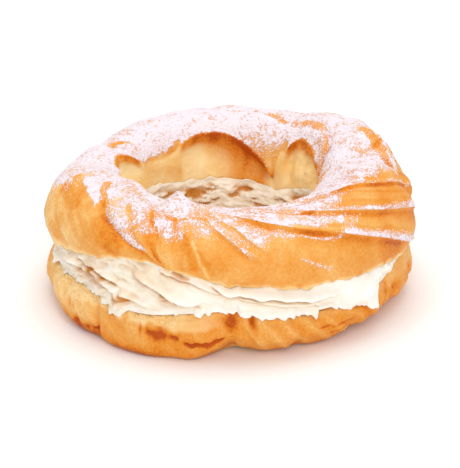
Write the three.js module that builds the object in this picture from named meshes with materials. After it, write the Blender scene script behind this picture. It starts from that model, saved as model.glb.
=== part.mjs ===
// Paris-Brest: a ring of piped choux pastry, split across and filled with whipped cream.
// Millimetres, +Z up. The ring rests on z = 0 and its hole runs along the Z axis.
//
// Every piece is a ring. A place on a ring is a turn angle (degrees, 0 at +X, -90 at the front)
// and a place on the section of the ring at that angle, as a radius and a height.

import * as THREE from 'three';

// ---- driving sizes, mm

const LID_REACH = 50.0; //       radius of the lid where it is widest
const LID_LIP_RADIUS = 26.2; //  radius of the lid's inner lip
const LID_CREST_Z = 37.4; //     height of the lid's crest
const LID_EDGE_Z = 18.6; //      height of the lid's outer lower edge
const LID_LIP_Z = 23.0; //       height of the lid's inner lower edge
const LID_TUCK = 1.8; //         how far the outer lower edge turns back in

const BASE_REACH = 48.6; //      radius of the base where it is widest
const BASE_HOLE_RADIUS = 25.6; // radius of the hole through the base
const BASE_FOOT_RADIUS = 43.2; // radius of the base where it leaves the table
const BASE_TOP_Z = 11.7; //      height of the cut face of the base
const BASE_BELLY_Z = 6.8; //     height at which the base is widest
const BASE_RIM = 3.3; //         breadth of the rounded rim beside the cut face

const CREAM_LIP = 1.1; //        thickness of the cream where it laps over the rim
const CREAM_FOLD = 0.7; //       height of the folds in the face of the cream
const GAP = 0.3; //              air left between the base and the cream
const LID_GAP = 0.4; //          air left between the cream and the lid

// ---- the piped ridges of the lid. Each row: turn angle where the ridge crosses the crest, how
//      far it sweeps on towards the outer edge and back towards the hole (degrees), height of its
//      ledge, depth of the hollow below the ledge, height of the lobe after it (mm), and the two
//      section angles between which the ledge shows

const RIDGES = [
  [-144, 32, 15, 0.0, 0.0, 0.3, 0, 90],
  [-129, 19, 25, 0.2, 0.2, 0.2, 5, 80],
  [-117, 9, 30, 0.1, 0.3, 0.3, 0, 75],
  [-108, 6, 32, 0.1, 0.3, 0.4, 0, 70],
  [-97, 32, 36, 0.4, 0.5, 0.1, 42, 86],
  [-93, 83, 38, 0.8, 0.6, 0.2, 9, 78],
  [-66, 83, 45, 0.6, 0.5, 0.4, 20, 86],
  [-30, 56, 45, 0.4, 0.5, 1.4, 48, 100],
  [12, 30, 45, 0.2, 0.6, 1.6, 20, 84],
  [38, 35, 46, 0.3, 0.4, 1.0, 10, 80],
  [72, 45, 50, 0.0, 0.0, 0.5, 10, 80],
  [92, 40, 42, 0.5, 0.6, 0.5, 8, 70],
  [118, 35, 34, 0.5, 0.6, 0.5, 8, 70],
  [142, 30, 28, 0.5, 0.6, 0.5, 8, 70],
  [166, 25, 22, 0.4, 0.4, 0.4, 8, 66],
  [190, 25, 18, 0.1, 0.2, 0.3, 8, 60],
];
const RIDGE_STEPS = [0, 0.12, 0.32, 0.54, 0.74, 0.88, 0.96]; // shares of the way to the next ridge
const SECTION_DEGREE = 0.23; //  length of the lid's section for one degree of it, mm

// ---- the join of the piping, under ridge 0: depth, breadth of the upper end's roll and of the
//      valley beside it

const JOIN = { depth: 1.0, roll: 4.5, valley: 1.5 };

// ---- hollows torn in the lid's inner wall: from, peak and to are turn angles; top, low and other
//      are section angles of the torn edge at the peak, at `to` and at `from`

const HOLLOWS = [
  { from: 123, peak: 103, to: 59, top: 132, low: 176, other: 149, bend: 1.7, depth: 3.1 },
  { from: 176, peak: 168, to: 145, top: 115, low: 160, other: 122, bend: 1.3, depth: 2.0 },
  { from: 58, peak: 45, to: 6, top: 134, low: 174, other: 152, bend: 1.0, depth: 1.3 },
];
const WALL_ANGLE = 146; // section angle where the inner wall starts if nothing is torn

// ---- notches between the lobes of the base: turn angle, depth, breadth in degrees

const NOTCHES = [
  [-136, 1.2, 5],
  [-108, 0.6, 4],
  [-88, 3.2, 7],
  [-66, 1.1, 4],
  [-46, 1.0, 4],
  [-25, 1.3, 4],
  [2, 1.2, 4],
  [30, 1.3, 5],
  [55, 1.2, 5],
  [82, 1.4, 5],
  [108, 1.2, 5],
  [136, 1.4, 5],
  [160, 1.2, 5],
  [-168, 1.0, 5],
];

// ---- lower edge of the cream, with its tongues over the rim: turn angle and height

const CREAM_EDGE = [
  [-180, 11.5], [-168, 11.2], [-156, 12.2], [-150, 13.0], [-138, 12.8], [-129.5, 11.4], [-128, 9.9],
  [-121, 11.2], [-117, 12.6], [-109, 12.2], [-97, 13.0], [-82, 12.0], [-73, 10.4], [-66, 10.6], [-62, 9.6],
  [-58, 11.4], [-52, 10.0], [-38, 8.1], [-35, 12.4], [-24, 15.6], [4, 16.0], [20, 14.0],
  [40, 11.4], [90, 10.8], [130, 11.2], [180, 11.5],
];

// ---- small helpers

const radians = (degrees) => (degrees * Math.PI) / 180;
const mix = (a, b, share) => a + (b - a) * share;
const clamp = (value, low, high) => Math.min(high, Math.max(low, value));

// difference of two turn angles, from -180 to 180
function wrap(degrees) {
  return ((((degrees + 180) % 360) + 360) % 360) - 180;
}

// 1 at the turn angle `at`, falling away over `breadth` degrees to each side
function swell(phi, at, breadth) {
  return Math.exp(-((wrap(phi - at) / breadth) ** 2));
}

// 0 below `low`, 1 above `high`, with a soft start and end
function ease(value, low, high) {
  const share = clamp((value - low) / (high - low), 0, 1);
  return share * share * (3 - 2 * share);
}

// height of a line through a list of [place, value] pairs
function along(pairs, place) {
  const next = pairs.findIndex((pair) => pair[0] >= place);
  if (next === 0) return pairs[0][1];
  if (next < 0) return pairs[pairs.length - 1][1];
  const [x0, y0] = pairs[next - 1];
  const [x1, y1] = pairs[next];
  return mix(y0, y1, (place - x0) / (x1 - x0));
}

function pointOnRing({ phi, r, z }) {
  return [r * Math.cos(radians(phi)), r * Math.sin(radians(phi)), z];
}

// ---- lid: outline of the section at each turn angle

function lidOutline(phi) {
  const reach = LID_REACH
    + 0.9 * swell(phi, -168, 30) - 3.6 * swell(phi, 146, 26) - 0.6 * swell(phi, 176, 12)
    + 1.9 * swell(phi, 42, 15) + 1.8 * swell(phi, 21, 9)
    - 1.4 * swell(phi, 2, 6) + 1.2 * swell(phi, -12, 14);
  const lip = LID_LIP_RADIUS
    + 0.9 * swell(phi, 95, 35) - 0.9 * swell(phi, -95, 40) - 1.8 * swell(phi, -150, 20)
    - 4.4 * swell(phi, -15, 30);
  const edgeZ = LID_EDGE_Z
    + 6.0 * swell(phi, -122, 22) + 1.3 * swell(phi, -95, 16) + 0.9 * swell(phi, -82, 12)
    - 2.4 * swell(phi, 6, 24) + 0.8 * swell(phi, 150, 50) + 1.9 * swell(phi, -111, 17)
    + 0.9 * swell(phi, -72, 20) + 1.7 * swell(phi, -149, 13) - 1.0 * swell(phi, -24, 12);
  const lipZ = LID_LIP_Z
    + 1.2 * swell(phi, -120, 50) - 2.6 * swell(phi, 108, 28) - 4.6 * swell(phi, 62, 24);
  const crestZ = LID_CREST_Z
    + 0.3 * swell(phi, 95, 40) + 2.7 * swell(phi, 38, 17) - 0.8 * swell(phi, -60, 40)
    - 1.5 * swell(phi, 150, 30) + 0.5 * swell(phi, -165, 30) - 1.3 * swell(phi, 178, 13)
    + 1.5 * swell(phi, 19, 8) - 1.0 * swell(phi, 1, 7) - 0.6 * swell(phi, 60, 9);
  const tuck = LID_TUCK + 1.6 * swell(phi, 178, 24);
  return { reach, lip, edgeZ, lipZ, crestZ, tuck };
}

// Smooth form of the lid. The section angle theta is 0 at the outer lower edge,
// 90 at the crest and 180 at the inner lower edge.
function lidForm(phi, theta) {
  const { reach, lip, edgeZ, lipZ, crestZ, tuck } = lidOutline(phi);
  const crestRadius = (reach + lip) / 2 - 0.3;
  const across = Math.abs(Math.cos(radians(theta)));
  const up = Math.abs(Math.sin(radians(theta)));
  if (theta > 90) {
    return {
      r: crestRadius - (crestRadius - lip) * across ** 0.8,
      z: lipZ + (crestZ - lipZ) * up ** 0.9,
    };
  }
  return {
    r: crestRadius + (reach - crestRadius) * across ** 0.86 - tuck * clamp(1 - theta / 22, 0, 1) ** 2,
    z: edgeZ + (crestZ - edgeZ) * up ** 0.95,
  };
}

// Underside of the lid: a straight line in each section, from the inner to the outer lower edge.
function lidUndersideZ(phi, r) {
  const inner = lidForm(phi, 180);
  const outer = lidForm(phi, 0);
  return mix(inner.z, outer.z, (r - inner.r) / (outer.r - inner.r));
}

// ---- lid: ridges left by the star nozzle, swept further round towards the edge

const RIDGE_DRAG = [[90, 0], [98, 0.35], [105, 0.6], [120, 1], [140, 1.05]];

// turn angle of ridge number `index` at a section angle
function ridgePhi(index, theta) {
  const turns = Math.floor(index / RIDGES.length);
  const [crest, out, back] = RIDGES[index - turns * RIDGES.length];
  const outwards = clamp(1 - theta / 90, 0, 1) ** 1.1;
  return crest + 360 * turns + out * outwards - back * along(RIDGE_DRAG, theta);
}

// share of a distance round the ring that counts at right angles to a slanting ridge
function squareTo(index, theta, radius) {
  const slope = (ridgePhi(index, theta + 1) - ridgePhi(index, theta - 1)) / 2;
  return 1 / Math.hypot(1, (radians(slope) * radius) / SECTION_DEGREE);
}

// how strongly ridge `index` shows at a section angle
function ridgeShown(index, theta) {
  const [, , , , , , from, to] = RIDGES[index];
  return ease(theta, from - 12, from + 6) * (1 - ease(theta, to - 8, to + 14));
}

// height over the smooth form, at a share of the way from ridge `index` to the next one
function ridgeHeight(index, share, theta, radius) {
  const next = (index + 1) % RIDGES.length;
  const gap = radians(ridgePhi(index + 1, theta) - ridgePhi(index, theta)) * radius;
  const past = share * gap * squareTo(index, theta, radius);
  const ahead = (1 - share) * gap * squareTo(index + 1, theta, radius);
  const ledge = RIDGES[index][3] * ridgeShown(index, theta) * Math.exp(-past / 1.7)
    + RIDGES[next][3] * ridgeShown(next, theta) * Math.exp(-ahead / 0.35);
  const hollow = RIDGES[next][4] * ridgeShown(next, theta) * (ahead / 0.9) * Math.exp(1 - ahead / 0.9);
  const lobe = RIDGES[index][5] * (Math.sin(Math.PI * share) ** 0.75 - 0.6)
    * ease(theta, 4, 26) * (1 - ease(theta, 74, 104));
  return (ledge - hollow + lobe) * ease(theta, 0, 9) - joinDepth(index, past, ahead, theta);
}

// the join where the piping starts and ends: the upper end rolls down, the lower one comes out
function joinDepth(index, past, ahead, theta) {
  const shown = ease(theta, 0, 18) * (1 - ease(theta, 56, 78));
  if (index === 0) return JOIN.depth * Math.exp(-past / JOIN.valley) * shown;
  if (index === RIDGES.length - 1) return JOIN.depth * clamp(1 - ahead / JOIN.roll, 0, 1) ** 2 * shown;
  return 0;
}

// ---- lid: torn hollows in the inner wall

// section angle of the torn edge, and the depth of the hollow below it
function hollowAt(phi) {
  let edge = WALL_ANGLE + 24 * swell(phi, 69, 5) + 8 * swell(phi, 134, 12) - 12 * swell(phi, -175, 12);
  let depth = 0;
  for (const hollow of HOLLOWS) {
    const off = wrap(phi - hollow.peak);
    const share = off / wrap((off > 0 ? hollow.from : hollow.to) - hollow.peak);
    if (share < 1) {
      const end = off > 0 ? hollow.other : hollow.low;
      const line = mix(hollow.top, end, Math.max(0, share) ** hollow.bend);
      edge = mix(edge, line, ease(1 - share, 0, 0.12));
      depth = Math.max(depth, hollow.depth * ease(1 - share, 0, 0.5));
    }
  }
  return { edge, depth };
}

// rows of the lid, from the outer lower edge over the crest and down the inner wall
const LID_ROWS_OUTSIDE = [0, 7, 16, 28, 42, 56, 72, 88, 104];
const LID_ROWS_INSIDE = [-0.7, -0.35, 0, 0.3, 0.65, 1]; // shares of the way from the torn edge down

function lidPoint(index, share, row) {
  const inside = row - LID_ROWS_OUTSIDE.length;
  let theta = LID_ROWS_OUTSIDE[Math.min(row, LID_ROWS_OUTSIDE.length - 1)];
  let phi = mix(ridgePhi(index, theta), ridgePhi(index + 1, theta), share);
  let torn = 0;
  if (inside >= 0) {
    const step = LID_ROWS_INSIDE[inside];
    const nominal = mix(140, 104, Math.max(0, -step));
    phi = mix(ridgePhi(index, nominal), ridgePhi(index + 1, nominal), share);
    const { edge, depth } = hollowAt(phi);
    theta = step < 0 ? mix(edge, 104, -step) : mix(edge, 180, step);
    torn = depth * ease(step, 0, 0.3) * (1 - 0.65 * ease(step, 0.4, 1));
  }
  const here = lidForm(phi, theta);
  const before = lidForm(phi, Math.max(theta - 1, 0));
  const after = lidForm(phi, Math.min(theta + 1, 180));
  const length = Math.hypot(after.r - before.r, after.z - before.z);
  const out = ridgeHeight(index, share, theta, here.r);
  const r = here.r + (out * (after.z - before.z)) / length + torn;
  const z = here.z - (out * (after.r - before.r)) / length;
  return { phi, r, z: theta < 180 ? z : lidUndersideZ(phi, r) };
}

// ---- base

function notchDepth(phi) {
  return NOTCHES.reduce((sum, [at, depth, breadth]) => sum + depth * swell(phi, at, breadth), 0);
}

// how far the wall is raised off the table at its foot, beyond what the notches do
function undercut(phi) {
  const front = ease(wrap(phi), -103, -93);
  const right = ease(wrap(phi), 0, 30);
  const left = ease(wrap(phi), -160, -150) * (1 - front);
  return 0.5 + 0.5 * (front - right - left);
}

function baseOutline(phi) {
  const notch = notchDepth(phi);
  const under = undercut(phi);
  return {
    notch,
    under,
    reach: BASE_REACH
      + 0.9 * swell(phi, -130, 26) + 1.3 * swell(phi, -176, 20) - 1.4 * swell(phi, -62, 32)
      + 1.6 * swell(phi, 2, 16) - 0.35 * notch,
    foot: BASE_FOOT_RADIUS
      + 4.4 * swell(phi, -116, 24) + 2.4 * swell(phi, -146, 20) + 1.4 * swell(phi, -58, 14)
      - 1.2 * swell(phi, -28, 16) + 1.0 * swell(phi, 5, 20) - notch - 2 * under,
    rim: BASE_RIM + 1.8 * swell(phi, -168, 34),
    topZ: BASE_TOP_Z + 1.8 * swell(phi, -143, 12)
      + 2.0 * swell(phi, -94, 16) - 1.0 * swell(phi, -55, 20) - 0.8 * swell(phi, -118, 12)
      + 2.2 * swell(phi, 10, 20) + 3.8 * swell(phi, -13, 13),
  };
}

// Rounded rim outside (side 1) or inside (side -1) the cut face. The share runs from 0 at the
// cut face to 1 at the belly; `lift` is a distance kept from the surface.
function baseRim(phi, side, share, lift = 0) {
  const { reach, rim, topZ } = baseOutline(phi);
  const far = side > 0 ? reach : BASE_HOLE_RADIUS;
  const breadth = side > 0 ? rim : BASE_RIM;
  const near = far - side * breadth;
  const drop = topZ - BASE_BELLY_Z;
  const angle = radians(90 * share);
  const normal = new THREE.Vector2(drop * Math.sin(angle), breadth * Math.cos(angle)).normalize();
  return {
    phi,
    r: near + side * (breadth * Math.sin(angle) + lift * normal.x),
    z: topZ - drop * (1 - Math.cos(angle)) + lift * normal.y,
  };
}

// section of the base, from the inner edge of its flat foot outwards and round
function baseSection(phi) {
  const { notch, under, reach, foot } = baseOutline(phi);
  return [
    { phi, r: 29.0, z: 0 },
    { phi, r: foot - 2.0, z: 0 },
    { phi, r: foot + 0.6, z: 0.3 + 0.2 * notch + 0.35 * under },
    { phi, r: mix(foot, reach, 0.62), z: 1.9 + 0.25 * notch + 1.3 * under },
    { phi, r: mix(foot, reach, 0.94), z: 4.4 + 0.5 * under },
    baseRim(phi, 1, 1),
    baseRim(phi, 1, 0.66),
    baseRim(phi, 1, 0.33),
    baseRim(phi, 1, 0),
    baseRim(phi, -1, 0),
    baseRim(phi, -1, 0.5),
    baseRim(phi, -1, 1),
    { phi, r: BASE_HOLE_RADIUS + 0.9, z: 2.2 },
  ];
}

// ---- cream

// height of the ragged lower edge of the cream
function creamEdgeZ(phi) {
  return along(CREAM_EDGE, wrap(phi))
    + 0.3 * Math.sin(radians(13 * phi)) + 0.2 * Math.sin(radians(29 * phi + 40));
}

// how far round the rim the cream reaches, as a share of the rim
function creamReach(phi) {
  const { topZ } = baseOutline(phi);
  const fall = clamp((topZ - creamEdgeZ(phi)) / (topZ - BASE_BELLY_Z), 0.06, 0.92);
  return Math.acos(1 - fall) / radians(90);
}

// folds in the cream's face: flat below and sharp above, sloping down as they go round
function creamFold(phi, share) {
  const wave = share * 2.6 + phi / 75 + 0.25 * Math.sin(radians(5 * phi));
  return CREAM_FOLD * (1 - 2 * (wave - Math.floor(wave))) * Math.sin(Math.PI * share);
}

const CREAM_FACE_STEPS = [0.14, 0.3, 0.46, 0.62, 0.8];

function creamFace(phi, side, top, bottom) {
  return CREAM_FACE_STEPS.map((share) => {
    const bulge = (side > 0 ? 1.1 : 0.7) * Math.sin(Math.PI * share);
    const r = mix(top.r, bottom.r, share) + side * (bulge + creamFold(phi, share));
    return { phi, r, z: mix(top.z, bottom.z, share) };
  });
}

// section of the cream, from its inner top corner down, over the base and up the outer face
function creamSection(phi) {
  const outerRadius = lidForm(phi, 0).r
    - 1.0 - 1.0 * swell(phi, 178, 24) - 1.6 * swell(phi, -166, 16) - 4.0 * swell(phi, -3, 19);
  const innerRadius = lidForm(phi, 180).r + 0.8;
  const outerTop = { phi, r: outerRadius, z: lidUndersideZ(phi, outerRadius) - LID_GAP };
  const innerTop = { phi, r: innerRadius, z: lidUndersideZ(phi, innerRadius) - LID_GAP };
  const outerEnd = creamReach(phi);
  const innerEnd = 0.45 + 0.12 * Math.sin(radians(7 * phi));
  const outerLip = baseRim(phi, 1, outerEnd, GAP + CREAM_LIP);
  const innerLip = baseRim(phi, -1, innerEnd, GAP + CREAM_LIP);
  return [
    outerTop,
    ...creamFace(phi, 1, outerTop, outerLip),
    outerLip,
    baseRim(phi, 1, outerEnd, GAP + 0.06),
    baseRim(phi, 1, outerEnd * 0.5, GAP + 0.06),
    baseRim(phi, 1, 0, GAP),
    baseRim(phi, -1, 0, GAP),
    baseRim(phi, -1, innerEnd, GAP + 0.06),
    innerLip,
    ...creamFace(phi, -1, innerTop, innerLip).reverse().filter((_, step) => step % 2 === 0),
    innerTop,
  ].reverse();
}

// ---- meshes

function geometryOf(points, faces) {
  const geometry = new THREE.BufferGeometry();
  geometry.setAttribute('position', new THREE.Float32BufferAttribute(points.flatMap(pointOnRing), 3));
  geometry.setIndex(faces.flat());
  geometry.computeVertexNormals();
  return geometry;
}

// faces between two neighbouring sections a and b, each a list of `count` points
function band(a, b, count, closed) {
  const faces = [];
  for (let row = 0; row < (closed ? count : count - 1); row += 1) {
    const next = (row + 1) % count;
    faces.push([a + row, b + row, b + next], [a + row, b + next, a + next]);
  }
  return faces;
}

// a ring whose sections are closed outlines
function closedRing(sectionAt, sections) {
  const rows = sectionAt(0).length;
  const points = [];
  const faces = [];
  for (let i = 0; i < sections; i += 1) {
    points.push(...sectionAt((360 * i) / sections - 180));
    faces.push(...band(i * rows, ((i + 1) % sections) * rows, rows, true));
  }
  return geometryOf(points, faces);
}

// The underside joins two edges whose points don't face each other, so at each step
// the strip moves on along the edge that is behind.
function undersideStrip(points, inner, outer) {
  const faces = [];
  const count = inner.length;
  const at = (edge, step) => edge[((step % count) + count) % count];
  const phiOf = (edge, step) => points[at(edge, step)].phi + 360 * Math.floor(step / count);
  let j = -count;
  while (phiOf(outer, j + 1) < phiOf(inner, 0)) j += 1;
  const last = j + count;
  let i = 0;
  while (i < count || j < last) {
    const innerMoves = j === last || (i < count && phiOf(inner, i + 1) < phiOf(outer, j + 1));
    if (innerMoves) {
      faces.push([at(inner, i), at(inner, i + 1), at(outer, j)]);
      i += 1;
    } else {
      faces.push([at(inner, i), at(outer, j + 1), at(outer, j)]);
      j += 1;
    }
  }
  return faces;
}

function lidGeometry() {
  const rows = LID_ROWS_OUTSIDE.length + LID_ROWS_INSIDE.length;
  const sections = RIDGES.length * RIDGE_STEPS.length;
  const points = [];
  const faces = [];
  const outerEdge = [];
  const innerEdge = [];
  for (let i = 0; i < sections; i += 1) {
    const ridge = Math.floor(i / RIDGE_STEPS.length);
    const share = RIDGE_STEPS[i % RIDGE_STEPS.length];
    outerEdge.push(points.length);
    for (let row = 0; row < rows; row += 1) points.push(lidPoint(ridge, share, row));
    innerEdge.push(points.length - 1);
    faces.push(...band(i * rows, ((i + 1) % sections) * rows, rows, false));
  }
  faces.push(...undersideStrip(points, innerEdge, outerEdge));
  return geometryOf(points, faces);
}

// ---- the pastry

const BASE_SECTIONS = 96;
const CREAM_SECTIONS = 96;

function piece(name, geometry, color, roughness) {
  const material = new THREE.MeshStandardMaterial({ color, roughness, metalness: 0 });
  const mesh = new THREE.Mesh(geometry, material);
  mesh.name = name;
  return mesh;
}

const group = new THREE.Group();
group.add(piece('choux_base', closedRing(baseSection, BASE_SECTIONS), 0xe0a05a, 0.75));
group.add(piece('cream_filling', closedRing(creamSection, CREAM_SECTIONS), 0xf6efdf, 0.55));
group.add(piece('choux_lid', lidGeometry(), 0xeab070, 0.6));

export default group;
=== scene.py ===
# %% [markdown]
# # A Paris-Brest
#
# A Paris-Brest is a ring of choux pastry. It is piped with a star nozzle, baked until the crust is
# golden, cut across, filled with whipped cream and dusted with icing sugar. Its three pieces are
# rings: the base, the cream and the lid. The shape of each one is a section that changes as it
# goes round, so this lesson computes rings from a turn angle and a place on the section, and then
# adds what is finer: nozzle ridges, tears, folds of cream, crumbs and grains of sugar.

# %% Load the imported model
import bpy
import math
import numpy as np
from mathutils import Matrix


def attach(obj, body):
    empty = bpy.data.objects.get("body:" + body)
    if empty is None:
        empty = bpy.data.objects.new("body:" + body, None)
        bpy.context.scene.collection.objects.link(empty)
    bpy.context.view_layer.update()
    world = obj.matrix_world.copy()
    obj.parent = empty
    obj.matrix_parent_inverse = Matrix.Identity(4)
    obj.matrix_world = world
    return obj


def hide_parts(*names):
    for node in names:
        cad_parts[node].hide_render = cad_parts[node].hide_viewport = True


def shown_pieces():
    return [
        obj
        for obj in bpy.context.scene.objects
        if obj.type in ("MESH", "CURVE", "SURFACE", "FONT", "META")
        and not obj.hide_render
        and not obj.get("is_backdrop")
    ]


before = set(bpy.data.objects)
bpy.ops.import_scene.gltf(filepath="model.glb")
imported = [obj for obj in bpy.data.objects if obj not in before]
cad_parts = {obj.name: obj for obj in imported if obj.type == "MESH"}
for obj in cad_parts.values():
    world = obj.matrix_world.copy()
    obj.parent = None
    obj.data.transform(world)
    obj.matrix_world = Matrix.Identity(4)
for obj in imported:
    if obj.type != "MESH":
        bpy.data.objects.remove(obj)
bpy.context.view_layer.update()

# %% [markdown]
# ## Camera, light and table
#
# The pastry is seen from a little above, from about five ring widths away, so a long lens keeps
# the ring nearly round. The light is a big soft box above, another in front and a pale sky,
# because icing sugar and cream show their relief only where the light is soft. The table is a
# plain white sheet.

# %% Camera
VIEW_HEIGHT = math.radians(23)
VIEW_DISTANCE = 0.52
AIM = np.array([0.0, 0.0, 0.019])
LONG_SIDE = 468                                        # of the render, in pixels


def put(name, data):
    """a new object in the scene"""
    thing = bpy.data.objects.new(name, data)
    bpy.context.scene.collection.objects.link(thing)
    return thing


camera = put("camera", bpy.data.cameras.new("camera"))
camera.location = AIM + VIEW_DISTANCE * np.array([0, -math.cos(VIEW_HEIGHT), math.sin(VIEW_HEIGHT)])
camera.rotation_euler = (math.pi / 2 - VIEW_HEIGHT, 0, 0)
camera.data.sensor_width, camera.data.lens = 36, 147.6
camera.data.shift_x, camera.data.shift_y = 1 / LONG_SIDE, -13 / LONG_SIDE
bpy.context.scene.camera = camera
print("camera", round(VIEW_DISTANCE * 1000), "mm away")

# %% Soft boxes and sky
BOX_SIZE = 0.8
MIDDLE = np.array([0.0, 0.0, 0.02])


def soft_box(name, spot, power):
    """a round light that faces the middle of the pastry"""
    light = bpy.data.lights.new(name, "AREA")
    light.shape, light.size, light.energy = "DISK", BOX_SIZE, power
    lamp = put(name, light)
    lamp.location = spot
    x, y, z = MIDDLE - spot
    lamp.rotation_euler = (math.atan2(math.hypot(x, y), -z), 0, math.atan2(-x, y))


soft_box("top box", (0.0, 0.10, 1.0), 3.9)
soft_box("front box", (0.16, -0.98, 0.72), 4.1)

world = bpy.data.worlds.new("sky")
bpy.context.scene.world = world
world.use_nodes = True
sky = world.node_tree.nodes["Background"]
sky.inputs["Color"].default_value = (1.0, 1.0, 1.0, 1)
sky.inputs["Strength"].default_value = 0.7
bpy.context.scene.view_settings.view_transform = "Standard"


# %% Table
def new_material(name):
    """a material, its node tree and its main shader"""
    material = bpy.data.materials.new(name)
    material.use_nodes = True
    return material, material.node_tree, material.node_tree.nodes["Principled BSDF"]


white_sheet, _, shader = new_material("white sheet")
shader.inputs["Base Color"].default_value = (0.97, 0.97, 0.97, 1)
shader.inputs["Roughness"].default_value = 0.9
sheet = bpy.data.meshes.new("table")
sheet.from_pydata([(-8, -8, 0), (8, -8, 0), (8, 8, 0), (-8, 8, 0)], [], [(0, 1, 2, 3)])
sheet.materials.append(white_sheet)
table = put("table", sheet)
table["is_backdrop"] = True
print("table:", len(sheet.polygons), "face")

# %% [markdown]
# ## Rings
#
# A place on a ring is a turn angle and a place on the section there, as a radius and a height in
# millimetres. Nothing baked is even, so most sizes swell or shrink softly at some turn angle. The
# helpers below work on whole arrays at once, which keeps a ring of 90,000 points quick.

# %% Helpers for angles and soft changes
def wrap(degrees):
    """difference of two turn angles, from -180 to 180"""
    return (degrees + 180.0) % 360.0 - 180.0


def bell(value, breadth):
    """1 at 0, falling away over `breadth` on both sides"""
    return np.exp(-(value / breadth) ** 2)


def swell(phi, at, breadth):
    """1 at the turn angle `at`, falling away over `breadth` degrees"""
    return bell(wrap(phi - at), breadth)


def swells(phi, level, *rows):
    """a level with swellings and dips, each a height, a turn angle and a breadth"""
    for height, at, breadth in rows:
        level = level + height * swell(phi, at, breadth)
    return level


def ease(value, low, high):
    """0 up to `low` and 1 beyond `high`, or falling where `low` is the larger"""
    share = np.clip((value - low) / (high - low), 0.0, 1.0)
    return share * share * (3 - 2 * share)


def span(value, low, risen, falling, high):
    """1 from `risen` to `falling`, fading out to `low` and `high`"""
    return ease(value, low, risen) * ease(value, high, falling)


def mix(a, b, share):
    """`a` where `share` is 0, `b` where it is 1"""
    return a + (b - a) * share


def steps(low, high, count):
    """evenly spaced numbers from `low`, without `high`"""
    return np.linspace(low, high, count, endpoint=False)


def show(what, values, unit="mm"):
    """prints the smallest and the largest of some numbers"""
    print(what, "from", round(float(np.min(values)), 2), "to", round(float(np.max(values)), 2), unit)


show("a swelling", swell(np.arange(40.0), 0.0, 15.0), "of its height")


# %% Seeded noise
FACTORS = (374761393, 668265263, 2147483647, 1274126177)   # large odd numbers, one for each input
BITS = 0xFFFFFFFF                                      # keeps 32 bits
LAYERS_SUM = 1.6                                       # keeps layered noise near -1 to 1


def lattice(*where_and_seed):
    """a number from 0 to 1 for each corner of a grid, always the same for the same seed"""
    h = sum(number * factor for number, factor in zip(where_and_seed, FACTORS)) & BITS
    h = ((h ^ (h >> 13)) * FACTORS[-1]) & BITS
    return ((h ^ (h >> 16)) & 0xFFFF) / 65535.0


def noise(x, y, z, size, seed=1):
    """soft noise from -1 to 1 whose lumps are about `size` millimetres"""
    p = [np.asarray(a, float) / size for a in np.broadcast_arrays(x, y, z)]
    whole = [np.floor(a).astype(np.int64) for a in p]
    part = [a - w for a, w in zip(p, whole)]
    soft = [f * f * f * (f * (6 * f - 15) + 10) for f in part]
    total = 0.0
    for dx in (0, 1):
        for dy in (0, 1):
            for dz in (0, 1):
                weight = ((soft[0] if dx else 1 - soft[0]) * (soft[1] if dy else 1 - soft[1])
                          * (soft[2] if dz else 1 - soft[2]))
                total = total + weight * lattice(whole[0] + dx, whole[1] + dy, whole[2] + dz, seed)
    return 2 * total - 1


def layered(x, y, z, size, seed=1, layers=3):
    """noise with finer noise on it"""
    return sum(noise(x, y, z, size / 2 ** n, seed + n) / 2 ** n for n in range(layers)) / LAYERS_SUM


print("noise at one place:", float(noise(1.0, 2.0, 3.0, 2.5)))


# %% Places on a ring
def circle(phi, r):
    """x and y at a turn angle and a radius"""
    return r * np.cos(np.radians(phi)), r * np.sin(np.radians(phi))


def place(phi, r, z):
    return np.stack([*circle(phi, r), z], -1)


def normals_of(points):
    """outward normals of a ring of sections, which is closed both ways"""
    along = np.roll(points, -1, 0) - np.roll(points, 1, 0)
    around = np.roll(points, -1, 1) - np.roll(points, 1, 1)
    normal = np.cross(along, around)
    return normal / (np.linalg.norm(normal, axis=-1, keepdims=True) + 1e-12)


print("the front of a ring of 50 mm:", place(-90.0, 50.0, 10.0).round(1))

# %% [markdown]
# ## Crust and sugar
#
# Baked choux is a dry, thin crust over soft dough: tan where it is well baked, pale where it was
# sheltered, and orange-brown on thin edges. Creases are orange-brown too, and there the colour is
# partly painted shade. Each crust mesh carries fields, numbers at its points that say how dark it
# is, from baking and from painted shade, and how much sugar fell there. One shader group turns
# the fields into colour, so that both crusts are coloured by the same rule with values of their own.

# %% Helpers that make nodes
def connect(node, inputs):
    """gives a node its inputs, each a plain value or another node's output"""
    for key, value in inputs.items():
        if isinstance(value, bpy.types.NodeSocket):
            node.id_data.links.new(value, node.inputs[key])
        else:
            node.inputs[key].default_value = value
    return node


def add(tree, kind, inputs=None, **settings):
    """a new node"""
    node = tree.nodes.new(kind)
    for key, value in settings.items():
        setattr(node, key, value)
    return connect(node, inputs or {})


def new_group(name, kind, inputs, outputs):
    """a node group, the outputs of its input node, and its output node"""
    tree = bpy.data.node_groups.new(name, kind)
    for label, socket_kind, value in inputs:
        socket = tree.interface.new_socket(label, in_out="INPUT", socket_type="NodeSocket" + socket_kind)
        if value is not None:
            socket.default_value = value
    for label, socket_kind in outputs:
        tree.interface.new_socket(label, in_out="OUTPUT", socket_type="NodeSocket" + socket_kind)
    return tree, tree.nodes.new("NodeGroupInput").outputs, tree.nodes.new("NodeGroupOutput")


def maths(operation, a, b):
    """a sum of two values, at least one of them a node's output"""
    tree = next(value.id_data for value in (a, b) if isinstance(value, bpy.types.NodeSocket))
    return add(tree, "ShaderNodeMath", {0: a, 1: b}, operation=operation).outputs[0]


def plus(a, *others):
    for b in others:
        a = maths("ADD", a, b)
    return a


def minus(a, b):
    return maths("SUBTRACT", a, b)


def times(a, b):
    return maths("MULTIPLY", a, b)


print("helpers for sums in nodes:", [f.__name__ for f in (plus, minus, times)])


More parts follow.
